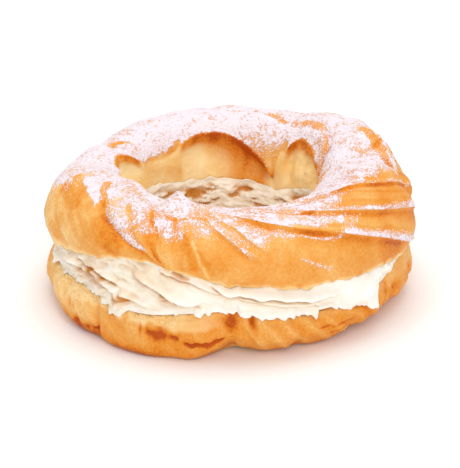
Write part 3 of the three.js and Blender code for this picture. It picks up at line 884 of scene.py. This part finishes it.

# %% How dark the crust baked, and the shade painted into its hollows and joins
hollow_wall = ease(depth, 0.1, 1.0) * ease(below, -0.5, 0.0)
# painted shade inside the big torn arch, darkest at its upper right, where its pale dough is darkened
painted_arch_shade = hollow_wall * ease((112 - phi_all) / 26 + 0.5 * (0.5 - below), 0, 1) * ease(phi_all, 60, 72)
# orange band under each torn lip: partly its baked edge, partly painted shade under the overhang
lip_tone_and_shade = hollow_wall * bell(np.maximum(below - 0.05, 0), swells(phi_all, 0.26, (0.2, 46, 12)))
streak_turn = phi_all[:, shoulder_row - 10:shoulder_row - 9]
streaks = layered(0.82 * streak_turn + 1.6 * noise(x, y, z, 6.0, 86), 0.05 * theta_all, 0, 3.6, 85, 3)
tone = (swells(phi_all, 0.36, (0.05, -62, 26), (0.20, -12, 30)) + smear_tone
        + 0.22 * streaks + 0.14 * noise(x, y, z, 7.0, 81) + 0.08 * noise(x, y, z, 2.6, 82)
        # painted shade: crests lighter than the hollows beside them, darker orange under the ledges and short
        # ledges
        - 0.12 * ridge_relief + 0.30 * bare_shaded_hollow + 0.18 * short_shaded_hollow
        # deeper orange in the joins and the back join's band: partly baked colour, partly painted shade
        + 0.34 * join_roll ** 0.5 * np.where(at_front_join, 1, 0.4) + 0.2 * join_valley + 0.12 * join_band
        # painted shade: the band under the torn lips and the far side of the big arch
        + 0.36 * lip_tone_and_shade + 0.34 * painted_arch_shade
        - 0.14 * swell(phi_all, -174, 26) * ease(theta_all, 4, 30)
        + 0.08 * swell(phi_all, -103, 20) * ease(theta_all, 70, 20)
        + 0.30 * ease(theta_all, 5, 0) * noise(x, y, 0, 3.0, 83))
soft_inside = swells(phi_all, 0.55, (0.35, 136, 22), (0.4, 36, 28)) * ease(below, -0.2, 0.05)
crumbly_width = swells(phi_all, 3.5, (7, -158, 18))
crumbly_edge = 0.8 * ease(theta_all + 1.5 * noise(x, y, z, 1.6, 84), crumbly_width, 0.5)
pale = ((soft_inside + 0.65 * hollow_wall * ease(below, 0.16, 0.40)) * (1 - painted_arch_shade)
        + crumbly_edge - 0.95 * lip_tone_and_shade - 1.5 * smear_tone * (below > 0))


def pad_under(values, value):
    """the same value for all points of the underside"""
    return np.concatenate([values, np.full((len(values), rows_under), value)], 1)


lid = ring_object("lid", lid_points, {
    "sugar": pad_under(sugar, 0.0), "tone": pad_under(np.clip(tone, -0.2, 1.4), 0.2),
    "pale": pad_under(np.clip(pale, 0, 1), 0.6),
    "relief": pad_under(np.where(below > 0, 0.6, 1.0) * ease(theta_all, 0, 3), 0.2)},
    lid_material, (0.004, 0.00022), (0.0012, 0.00007))

# %% [markdown]
# ## The base
#
# The base is the lower half of the ring. It is wider than its foot, because the dough swelled over
# the tray, and its wall has the lobes and flutes of the nozzle. The rim beside the cut is rounded
# and crumbly, because the knife tore the soft inside there.

# %% Outline of the base
NOTCHES = [  # depth, turn angle, breadth
    (1.2, -136, 5), (0.6, -108, 4), (3.2, -88, 7), (1.1, -66, 4), (1.0, -46, 4), (1.3, -25, 4),
    (1.2, 2, 4), (1.3, 30, 5), (1.2, 55, 5), (1.4, 82, 5), (1.2, 108, 5), (1.4, 136, 5),
    (1.2, 160, 5), (1.0, -168, 5)]
BASE_HOLE, INNER_RIM = 25.6, 3.3                       # radius of the hole, breadth of the rim there
BELLY_Z = 6.8
FOOT_INSIDE = 29.0


def base_outline(phi):
    """notch depth, reach of the belly, radius of the foot, breadth of the rim, height of the cut, undercut"""
    turn = wrap(phi)
    under = 0.5 * (1 + ease(turn, -103, -93) - ease(turn, 0, 30) - span(turn, -160, -150, -103, -93))
    notch = swells(phi, 0, *NOTCHES)
    reach = swells(phi, 48.6, (0.9, -130, 26), (1.3, -176, 20), (-1.4, -62, 32), (1.6, 2, 16)) - 0.35 * notch
    foot = swells(phi, 43.2, (4.4, -116, 24), (2.4, -146, 20), (1.4, -58, 14), (-1.2, -28, 16),
                  (1.0, 5, 20)) - notch - 2.0 * under
    rim = swells(phi, 3.3, (1.8, -168, 34))
    top_z = swells(phi, 11.7, (2.0, -94, 16), (-1.0, -55, 20), (2.2, 10, 20), (3.8, -13, 13),
                   (-0.8, -118, 12), (1.8, -143, 12))
    return notch, reach, foot, rim, top_z, under


def base_rim(phi, side, share, lift=0.0):
    """rounded rim outside (side 1) or inside (side -1) the cut, from the cut to the belly"""
    _, reach, _, rim, top_z, _ = base_outline(phi)
    far, breadth = (reach, rim) if side > 0 else (BASE_HOLE, INNER_RIM)
    drop = top_z - BELLY_Z
    angle = np.radians(90 * share)
    nx, nz = drop * np.sin(angle), breadth * np.cos(angle)
    length = np.hypot(nx, nz)
    r = far - side * breadth + side * (breadth * np.sin(angle) + lift * nx / length)
    return r, top_z - drop * (1 - np.cos(angle)) + lift * nz / length


def curve(points, t):
    """a cubic curve through the first and last of four (r, z) points"""
    (r0, z0), (r1, z1), (r2, z2), (r3, z3) = points
    a, b, c, d = (1 - t) ** 3, 3 * t * (1 - t) ** 2, 3 * t * t * (1 - t), t ** 3
    return a * r0 + b * r1 + c * r2 + d * r3, a * z0 + b * z1 + c * z2 + d * z3


show("the cut's height", base_outline(np.arange(360.0))[4])


# %% Points of the base
def joined(phi, parts):
    """radii and heights of a section's parts, one after another"""
    return [np.concatenate([part[axis] + 0 * phi for part in parts], 1) for axis in (0, 1)]


base_phi = steps(-180, 180, 780)[:, None]
notch, reach, foot, _, top_z, undercut = base_outline(base_phi)
short, tall = steps(0, 1, 8), steps(0, 1, 44)
inner_top, outer_top = base_rim(base_phi, -1, 0.0), base_rim(base_phi, 1, 0.0)
base_r, base_z = joined(base_phi, [
    (mix(FOOT_INSIDE, foot - 2.0, short), 0 * short),                               # the floor
    curve([(foot - 2.0, 0.0), (foot + 2.0, 0.25 * notch + 0.6 * undercut),
           (reach, 2.2 + 0.25 * notch + 2.2 * undercut), (reach, BELLY_Z)], tall),  # the wall
    base_rim(base_phi, 1, steps(1, 0, 34)),
    (mix(outer_top[0], inner_top[0], short), top_z + 0 * short),                    # the cut
    base_rim(base_phi, -1, steps(0, 1, 12)),
    curve([(BASE_HOLE, BELLY_Z), (BASE_HOLE, 3.0), (BASE_HOLE + 0.6, 0.4), (FOOT_INSIDE, 0.0)],
          steps(0, 1, 12))])
base_points = place(base_phi, base_r, base_z)
x, y, z = (base_points[..., axis] for axis in range(3))
wall_here = ease(base_r, 39, 43)
print("base points:", base_points.shape)

# %% [markdown]
# Four things mark the wall. Grooves run from the rim down to the foot, where two lobes of piping
# meet. Cracks run round it, where the crust opened in the oven. Soft flutes come from the nozzle,
# and pits and lumps from bubbles at the rim.

# %% Grooves between the lobes
BASE_R = 48                                            # radius of the wall
GROOVES = [  # turn angle at the top and at the foot, depth, breadth, heights between which it shows
    (-134.2, -133.0, 0.9, 0.9, 2.0, 12.0),
    (-90.6, -86.6, 1.0, 1.6, 0.5, 13.5),
    (-86.6, -79.8, 0.7, 0.8, 4.0, 13.0),
    (-82.8, -80.0, 0.8, 0.7, 6.0, 12.5),
    (-66.2, -66.0, 0.5, 0.9, 1.5, 11.0),
    (-28.5, -31.0, 0.8, 0.8, 4.0, 12.5),
    (-10, -6, 0.9, 1.2, 1, 12), (14, 20, 0.9, 1.2, 1, 13), (40, 47, 0.9, 1.2, 1, 12),
    (66, 73, 1.0, 1.2, 1, 12), (92, 99, 0.9, 1.2, 1, 12), (119, 125, 1.0, 1.2, 1, 12),
    (146, 151, 0.9, 1.2, 1, 12), (170, 174, 0.8, 1.2, 1, 12)]
groove_depth = np.zeros(base_r.shape)
for top, bottom, deep, broad, low, high in GROOVES:
    line = mix(bottom, top, np.clip(base_z / 12, 0, 1)) + 0.8 * noise(z, 0, top, 3.0, 15)
    off = np.radians(wrap(base_phi - line)) * BASE_R
    flank = np.where(off < 0, 1.8, 0.8)                # one is steep, the other soft
    groove_depth += (deep * span(base_z, low - 1, low + 1.5, high - 2, high + 0.5) * wall_here
                     * np.exp(-np.abs(off / (broad * flank)) ** 1.3))
show("grooves", groove_depth)

# %% Cracks round the wall
CRACKS = [  # from, to, height at each end, sag, depth, breadth
    (-118.5, -111.5, 8.0, 6.3, 0.0, 0.65, 1.6),
    (-112.5, -104.5, 7.3, 6.4, 0.1, 0.60, 1.5),
    (-104.5, -90.0, 5.9, 6.9, 1.5, 0.85, 1.1),
    (-146, -131, 3.4, 3.6, 0.2, 0.6, 1.2),
    (-62, -45, 6.9, 6.2, 0.1, 0.30, 0.5),
    (-57, -47, 4.2, 5.2, 0.0, 0.30, 0.5),
    (20, 44, 5.2, 6.6, 0.4, 0.5, 0.8),
    (70, 96, 7.0, 5.4, -0.4, 0.5, 0.8),
    (120, 150, 5.0, 6.2, 0.4, 0.5, 0.8),
    (-178, -160, 5.6, 6.2, 0.3, 0.5, 0.8)]
crack_depth = np.zeros(base_r.shape)
for start, end, z0, z1, sag, deep, broad in CRACKS:
    along = (base_phi - start) / (end - start)
    line = mix(z0, z1, along) - sag * 4 * along * (1 - along) + 0.35 * noise(x, y, 0, 1.6, 11)
    width = broad * (0.8 + 0.6 * noise(x, y, 0, 1.8, 12))
    ends = span(along, 0, 0.15, 0.85, 1) * ease(noise(x, y, 0, 2.2, 13), -1.0, -0.4)
    crack_depth += deep * ends * bell(base_z - line, width) * wall_here
show("cracks", crack_depth)

# %% Flutes, lumps and pits
PITS = [  # turn angle, height, depth, half breadth, half height
    (-148.5, 7.4, 0.9, 0.8, 1.3), (-145.6, 7.0, 0.7, 0.7, 1.0), (-152, 8.6, 0.6, 0.8, 1.2),
    (-88.8, 11.6, 1.1, 1.4, 2.6), (-82.6, 11.4, 1.1, 1.0, 2.0), (-24, 8.5, 0.7, 0.9, 1.2)]
FLUTE = 7.5                                            # degrees from one flute to the next
flute_turn = base_phi + 1.2 * base_z + 3.0 * noise(x, y, z, 9.0, 5)
flutes = ((0.5 - np.abs(np.sin(np.pi * flute_turn / FLUTE))) * swells(base_phi, 0.18, (0.27, -60, 30))
          * wall_here * span(base_z, 0.6, 3.0, 9.0, 12.0))
crumbly = ease(base_z, 8.6, 10.2) * wall_here * swells(base_phi, 0.35, (0.65, -142, 24), (0.6, -108, 16))
lumps = (0.55 * layered(x, y, z, 7.0, 21) * wall_here * ease(base_z, 0.6, 3.0)
         + 0.55 * crumbly * layered(x, y, z, 2.0, 24))
pits = sum(deep * bell(np.radians(wrap(base_phi - at)) * BASE_R, broad) * bell(base_z - up, tall)
           for at, up, deep, broad, tall in PITS) * wall_here
out = flutes - crack_depth - groove_depth + lumps - pits
base_points = base_points + normals_of(base_points) * out[..., None]
show("wall relief", out)

# %% Fields of the base
low = ease(base_z, 4.2, 0.8) * wall_here
# baked colour, darker in the cracks and towards the foot; painted shade darkens the grooves and pits and
# lightens the flutes' crests
base_tone = (swells(base_phi, 0.43, (0.1, -30, 30), (0.10, -106, 16)) + 0.12 * noise(x, y, z, 6.0, 26)
             + 0.95 * crack_depth + 0.25 * groove_depth + 0.42 * pits - 0.6 * flutes
             + 0.38 * low * (0.7 + 0.6 * noise(x, y, 0, 5.0, 27))
             + 0.35 * swell(base_phi, -142, 8) * ease(base_z, 6, 3) * wall_here
             - 0.18 * swell(base_phi, -150, 20) * ease(base_z, 3, 6))
cut_height = base_z + 0.9 * noise(x, y, 0, 2.0, 28) + swell(base_phi, -108, 14)
beside_cut = ease(cut_height, 9.4, 10.8) * (1 - np.clip(pits + groove_depth, 0, 1))
base_pale = (beside_cut * swells(base_phi, 0.2, (0.7, -140, 30), (0.25, -108, 12))
             + 0.5 * swell(base_phi, -150, 14) * ease(base_z, 5.5, 9.0))
base_pale = np.clip(base_pale, 0, 1) * wall_here + (1 - wall_here) * 0.5
base = ring_object("base", base_points, {
    "tone": np.clip(base_tone, -0.2, 1.4), "pale": base_pale, "relief": ease(base_z, 0.3, 2.0)},
    base_material, (0.004, 0.00025), (0.0012, 0.00008))

# %% [markdown]
# ## The cream
#
# Whipped cream was spread between the halves with a knife, so its face is made of folds. Each fold
# is a soft roll that slopes down as it goes round and ends in a sharp lower edge with a shadow
# under it. The lowest ones lap over the rim with a ragged edge.

# %% Lower edge of the cream
GAP = 0.3
EDGE = [  # turn angle, height
    (-180, 11.5), (-168, 11.2), (-156, 12.2), (-150, 13.0), (-138, 12.8), (-129.5, 11.4), (-128, 9.9),
    (-121, 11.2), (-117, 12.6), (-114, 11.8), (-109, 12.2), (-103, 12.8), (-97, 13.0), (-90, 13.1),
    (-82, 12.0), (-77, 11.0), (-73, 10.4), (-66, 10.6), (-63.5, 10.2), (-62, 9.6), (-60.5, 11.0),
    (-58, 11.6), (-52, 10.0), (-45, 8.8), (-40, 8.0), (-37.5, 8.2), (-36.5, 11.4), (-35, 12.4),
    (-29, 14.2), (-24, 15.6), (-15, 16.4), (4, 16.0), (20, 14.0), (40, 11.4), (90, 10.8), (130, 11.2),
    (180, 11.5)]


def cream_edge_z(phi):
    px, py = circle(phi, 46)
    teeth = (0.45 * noise(px, py, 0, 2.2, 31) + swell(phi, -27, 9) * noise(px, py, 0, 2.0, 34)
             + swells(phi, 0.38, (0.5, -30, 7), (0.6, -108, 16)) * noise(px, py, 0, 1.0, 32))
    return np.interp(wrap(phi), *zip(*EDGE)) + teeth


def cream_reach(phi):
    """how far the cream laps over the rim, from 0 at the cut to 1 at the belly"""
    top_z = base_outline(phi)[4]
    fall = np.clip((top_z - cream_edge_z(phi)) / (top_z - BELLY_Z), 0.05, 0.94)
    return np.degrees(np.arccos(1 - fall)) / 90


show("it laps over", cream_reach(np.arange(360.0)), "of the rim")

# %% Folds of the cream
CREAM_R = 47                                           # radius of its outer face
FOLDS = [  # turn angles and places on the face (0 at the lid, 1 at the edge) of the two ends, bend,
           # height, breadth, shadow
    (-121, -96, 0.24, 0.86, 1.0, 1.0, 1.6, 0.9),
    (-112, -100, 0.14, 0.18, 1.0, 0.5, 1.0, 0.4),
    (-124, -110, 0.60, 0.98, 1.0, 0.9, 1.5, 0.6),
    (-112, -97, 0.66, 0.72, 1.0, 0.7, 1.1, 0.8),
    (-97, -50, 0.08, 0.56, 0.8, 1.1, 1.3, 0.8),
    (-104, -54, 0.12, 0.80, 0.9, 0.8, 1.4, 0.6),
    (-108, -101, -0.02, 0.05, 1.0, 0.3, 0.8, 1.0),
    (-152, -134, 0.30, 0.55, 1.0, 0.6, 1.1, 0.4),
    (-148, -126, 0.62, 0.92, 1.0, 0.5, 1.0, 0.4),
    (-162, -140, 0.16, 0.50, 1.0, 0.6, 1.2, 0.6),
    (-146, -122, 0.14, 0.52, 1.0, 0.6, 1.1, 0.7),
    (-140, -118, 0.36, 0.78, 1.0, 0.6, 1.2, 0.6),
    (-166, -150, 0.50, 0.85, 1.0, 0.5, 1.0, 0.5),
]
rng = np.random.default_rng(4)
for at in np.arange(-24, 196, 13.0):                   # the rest of the ring, by chance
    begin = at + rng.uniform(-4, 4)
    high = rng.uniform(0.1, 0.6)
    FOLDS.append((begin, begin + rng.uniform(18, 34), high, high + rng.uniform(0.05, 0.4), 1.0,
                  rng.uniform(0.6, 1.1), rng.uniform(1.0, 1.6), rng.uniform(0.3, 0.7)))


def cream_folds(phi, v, tall):
    """height of the folds and depth of shadow, where v runs down a face `tall` millimetres tall"""
    bulge, shadow = np.zeros((2, *np.broadcast(phi, v).shape))
    arc = CREAM_R * np.radians(phi)
    for start, end, v0, v1, bend, height, breadth, dark in FOLDS:
        along = ((phi - start) % 360.0) / (end - start)
        line = mix(v0, v1, np.clip(along, 0, 1) ** bend)
        wave = 0.25 * noise(arc, 0, start, 3.0, 45) + 0.12 * noise(arc, 0, start, 1.2, 46)
        d = (v - line) * tall - wave                   # millimetres below the fold's edge
        ends = span(along, 0, 0.12, 0.66, 1.0)
        roll = bell(np.minimum(d + 0.3, 0), breadth) * ease(d, 0.3, -0.25)
        bulge += ends * height * (roll - 0.45 * bell(d - 0.35, 0.5))
        # painted shadow: dark just under the fold's edge, fading further down
        fading = 0.55 * ease(d, 0, 0.3) * np.exp(-np.maximum(d, 0) / 1.6)
        shadow += ends * dark * (bell(d - 0.3, 0.4) + fading)
    return bulge, np.clip(1.6 * shadow, 0, 0.62)


print(len(FOLDS), "folds")

# %% Where the cream meets the lid and the base
cream_phi = steps(-180, 180, 800)[:, None]
arc = CREAM_R * np.radians(cream_phi)
LIP = swells(cream_phi, 1.1, (-0.75, -152, 26))        # thickness of the edge that laps over the rim


def lid_rim(column, values):
    """radius or height of the lid's outer (0) or inner (-1) lower edge, as torn, at the cream's columns"""
    return np.interp(cream_phi[:, 0], phi_all[:, column], values[:, column], period=360)[:, None]


lid_edge_r, lid_edge_z = lid_form(cream_phi, 0.0)
outer_r = lid_edge_r + swells(cream_phi, -1.0, (-1.0, 178, 24), (-1.6, -166, 16), (-4.0, -3, 19))
outer_z = lid_underside_z(cream_phi, outer_r) + 0.8 * (lid_rim(0, lid_z) - lid_edge_z)
inner_r, inner_z = lid_rim(-1, lid_r) - 0.15, lid_rim(-1, lid_z) + 0.15
outer_end = cream_reach(cream_phi)
inner_end = 0.45 + 0.12 * np.sin(7 * np.radians(cream_phi)) + 0.12 * noise(*circle(cream_phi, 25), 0, 2.5, 33)
show("thickness of the lapping edge", LIP)

# %% Its outer face
BLOBS = [  # turn angle, place on the face, radius, height, roundness
    (-123.3, 0.74, 2.8, 3.4, 0.5), (-46, 0.5, 8.0, 1.5, 1.5)]


def outer_face(top, bottom, v):
    """the spread folds, with the dabs at the left, the blobs and the torn end at the right, and painted shade
    """
    tall = (top[1] - bottom[1]) * 1.1
    down = tall * v
    left, ribbon_zone = swell(cream_phi, -138, 22), swell(cream_phi, -124, 24)
    folds, shadow = cream_folds(cream_phi, v, tall)
    ribbon = np.abs(layered(0.25 * (arc + down), 1.2 * down - 0.6 * arc, 0, 2.2, 53, 2))
    dabs = 0.6 * left * layered(arc + 0.5 * down, down, 0, 2.2, 47) + 1.1 * ribbon_zone * (0.3 - ribbon)
    streaks = (0.22 * layered(0.3 * arc + 0.6 * down, 1.5 * down - 0.35 * arc, 0, 1.4, 43)
               * swells(cream_phi, 1, (-0.75, -46, 12)))
    big = 0.5 * noise(arc, 8 * v, 0, 6.0, 44)
    big = big + 1.8 * swell(cream_phi, -26, 10) * layered(arc, 0.7 * down, 0, 2.6, 52, 2) * ease(v, 0.1, 0.5)
    blob = 0
    for at, v_at, wide, height, power in BLOBS:
        away = np.hypot(arc - CREAM_R * math.radians(at), (v - v_at) * tall) / wide
        blob = blob + height * np.clip(1 - away ** 2, 0, 1) ** power
    fade = ease(v, 0, 0.08) * (1 - 0.55 * ease(v, 0.88, 1.0))
    out = (swells(cream_phi, 1.1, (-0.8, -155, 22)) * np.sin(np.pi * v)
           + (np.maximum(2.6 * folds, blob - 0.2) + dabs + streaks + big - 0.3) * fade)
    # painted shade: patchy at the left under the lid's overhang, in the ribbons' valleys and in the recess
    # under the lid
    patchy_left_shade = 0.14 + 0.36 * ease(noise(arc + down, down, 0, 2.2, 40), -0.4, 0.6)
    shadow = (shadow + left * (1 - 0.8 * swell(cream_phi, -162, 14)) * patchy_left_shade
              + 0.34 * ribbon_zone * ease(ribbon, 0.15, 0.6)
              + 0.28 * swell(cream_phi, -113, 11) * ease(v, 0.75, 0.35))
    return (mix(top[0], bottom[0], v) + out, mix(top[1], bottom[1], v)), shadow * fade


v = np.linspace(0, 1, 56)
frayed = 2.2 * swell(cream_phi, -27, 9) * layered(arc, 0, 0, 1.8, 50, 2)
lip_r, lip_z = base_rim(cream_phi, 1, outer_end, GAP + LIP)
calm_end = sum(np.roll(outer_end, k, 0) for k in range(-14, 15)) / 29   # the edge without its tongues
calm_lip = base_rim(cream_phi, 1, calm_end, GAP + LIP)
lower_edge = [mix(calm, wild, ease(v, 0.5, 1.0))
              for calm, wild in zip(calm_lip, (lip_r + frayed, lip_z - 0.4 * frayed))]
outside, outer_shade = outer_face((outer_r, outer_z), lower_edge, v)
show("the outer face's radius", outside[0])


# %% Its face in the hole
def inner_face(top, bottom, v):
    """chunks and flakes, with painted shade over the face, darkest in the gaps between them"""
    r, z = mix(top[0], bottom[0], v), mix(top[1], bottom[1], v)
    px, py = circle(cream_phi, r)
    chunks = layered(0.5 * px + 0.3 * z, 0.5 * py - 0.3 * z, 1.7 * z, 2.5, 48, 4)
    flakes = 0.7 * (((z + 1.6 * noise(px, py, 0, 5.0, 49)) / 2.4) % 1.0) ** 2 - 0.2
    gaps = ease(-chunks, -0.14, 0.18) * span(v, 0.1, 0.3, 0.86, 1.0)
    fade = ease(v, 0, 0.12) * (1 - 0.6 * ease(v, 0.85, 1.0))
    out = 0.8 * np.sin(np.pi * v) + (1.1 * chunks + 0.8 * flakes - 0.5 * gaps) * fade
    # painted shade: some over the whole face in the hole, most in the gaps
    return (r - out, z), 0.36 + 0.64 * gaps


v_inner = v[::2]
inner_lip = base_rim(cream_phi, -1, inner_end, GAP + LIP)
inside, inner_shade = inner_face((inner_r, inner_z), inner_lip, v_inner)
show("the inner face's radius", inside[0])

# %% [markdown]
# Out of sight, the cream follows the rim of the base and the underside of the lid, a small gap away
# from both. Its thick edge rolls in under itself where it laps over.

# %% The whole section of the cream
UNDER_GAP = GAP + 0.05


def turn_under(side, end):
    """the rolled edge, outside (side 1) or inside (side -1)"""
    return joined(cream_phi, [
        base_rim(cream_phi, side, end + 0.05 * math.sin(math.pi * s), UNDER_GAP + LIP * (1 - s))
        for s in (0.3, 0.6, 0.85, 1.0)])


def flipped(part):
    return part[0][:, ::-1], part[1][:, ::-1]


s = np.linspace(0.88, 0, 10)
under_out = base_rim(cream_phi, 1, outer_end * s, UNDER_GAP)
under_in = base_rim(cream_phi, -1, inner_end * s[::2], UNDER_GAP)
between_rims = np.linspace(0, 1, 6)[1:-1]
under_mid = [mix(a[:, -1:], b[:, -1:], between_rims) for a, b in zip(under_out, under_in)]
top_r = mix(inner_r, outer_r, np.linspace(0, 1, 8)[1:-1])
top_part = (top_r, lid_underside_z(cream_phi, top_r) - GAP)

# the section goes round like the others: down the inside, out over the base, up the outer face
cream_r, cream_z = joined(cream_phi, [
    inside, turn_under(-1, inner_end), under_in, flipped(under_mid), flipped(under_out),
    flipped(turn_under(1, outer_end)), flipped(outside), flipped(top_part)])
inner_rows, outer_rows = slice(0, len(v_inner)), slice(-(len(v) + top_r.shape[1]), -top_r.shape[1])
shade, relief_here = np.zeros((2, *cream_r.shape))
shade[:, inner_rows], shade[:, outer_rows] = inner_shade, outer_shade[:, ::-1]
relief_here[:, inner_rows], relief_here[:, outer_rows] = (np.sin(np.pi * w) ** 0.5 for w in (v_inner, v))
cream = ring_object("cream", place(cream_phi, cream_r, cream_z), {"shade": shade, "relief": relief_here},
                    cream_material, (0.0022, 0.00018), (0.0009, 0.00006))

# %% [markdown]
# ## Grains and crumbs
#
# The sugar isn't quite flat: clumps about a third of a millimetre across stand on it, most at the
# ragged edge of the dusting. Bread-like crumbs lie on the torn rims. One Geometry Nodes tree makes
# both. It puts points on a source mesh where a field says so, sets a rough little stone of 20
# faces on each, and makes the copies real.

# %% The scatter tree
scatter, given, result = new_group(
    "scattered grains", "GeometryNodeTree",
    [("Geometry", "Geometry", None), ("Field", "String", "grains"), ("Per Square Millimetre", "Float", 1.0),
     ("Radius", "Float", 0.0002), ("Seed", "Int", 1), ("Finish", "Material", None)],
    [("Geometry", "Geometry")])
amount = add(scatter, "GeometryNodeInputNamedAttribute", {"Name": given["Field"]},
             data_type="FLOAT").outputs[0]
points = add(scatter, "GeometryNodeDistributePointsOnFaces", {
    "Mesh": given["Geometry"], "Density": times(times(given["Per Square Millimetre"], 1e6), amount),
    "Seed": given["Seed"]}, distribute_method="RANDOM")
stone = add(scatter, "GeometryNodeMeshIcoSphere", {"Radius": 1.0, "Subdivisions": 1})


def by_chance(inputs):
    return add(scatter, "FunctionNodeRandomValue", inputs, data_type="FLOAT_VECTOR").outputs[0]


spin = by_chance({"Max": (6.28, 6.28, 6.28), "Seed": given["Seed"]})
size = by_chance({"Min": (0.55, 0.55, 0.45), "Max": (1.3, 1.3, 1.1), "Seed": 5})
size = add(scatter, "ShaderNodeVectorMath", {0: size, "Scale": given["Radius"]}, operation="SCALE").outputs[0]
stones = add(scatter, "GeometryNodeInstanceOnPoints", {
    "Points": points.outputs["Points"], "Instance": stone.outputs["Mesh"], "Rotation": spin, "Scale": size})
end_tree(scatter, stones.outputs[0], given["Finish"], result)
print("scatter tree:", len(scatter.nodes), "nodes")

# %% Scatter them
grainy = ease(sugar, 0.12, 0.4) * (1 - 0.75 * ease(sugar, 0.55, 0.8))
set_field(lid.data, "grains", pad_under(grainy, 0.0))
set_field(base.data, "crumbs", ease(base_pale, 0.55, 0.9) * wall_here
          * swells(base_phi, 0.25, (1.0, -142, 22), (0.8, -108, 15)))

sugar_grains = made_by(scatter, "sugar_grains", lid.data, {
    "Field": "grains", "Per Square Millimetre": 2.6, "Radius": 0.00016, "Seed": 3, "Finish": sugar_material})
crumbs = made_by(scatter, "crumbs", base.data, {
    "Field": "crumbs", "Per Square Millimetre": 2.4, "Radius": 0.0004, "Seed": 8, "Finish": crumb_material})

# %% [markdown]
# ## Putting it together
#
# Each ring stands for its CAD solid and rides on the pastry's only body.

# %% Hide the CAD solids and put the new pieces on the body
for piece, node in ((lid, "choux_lid"), (base, "choux_base"), (cream, "cream_filling")):
    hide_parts(node)
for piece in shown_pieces():
    if piece.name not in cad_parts:
        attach(piece, "root")
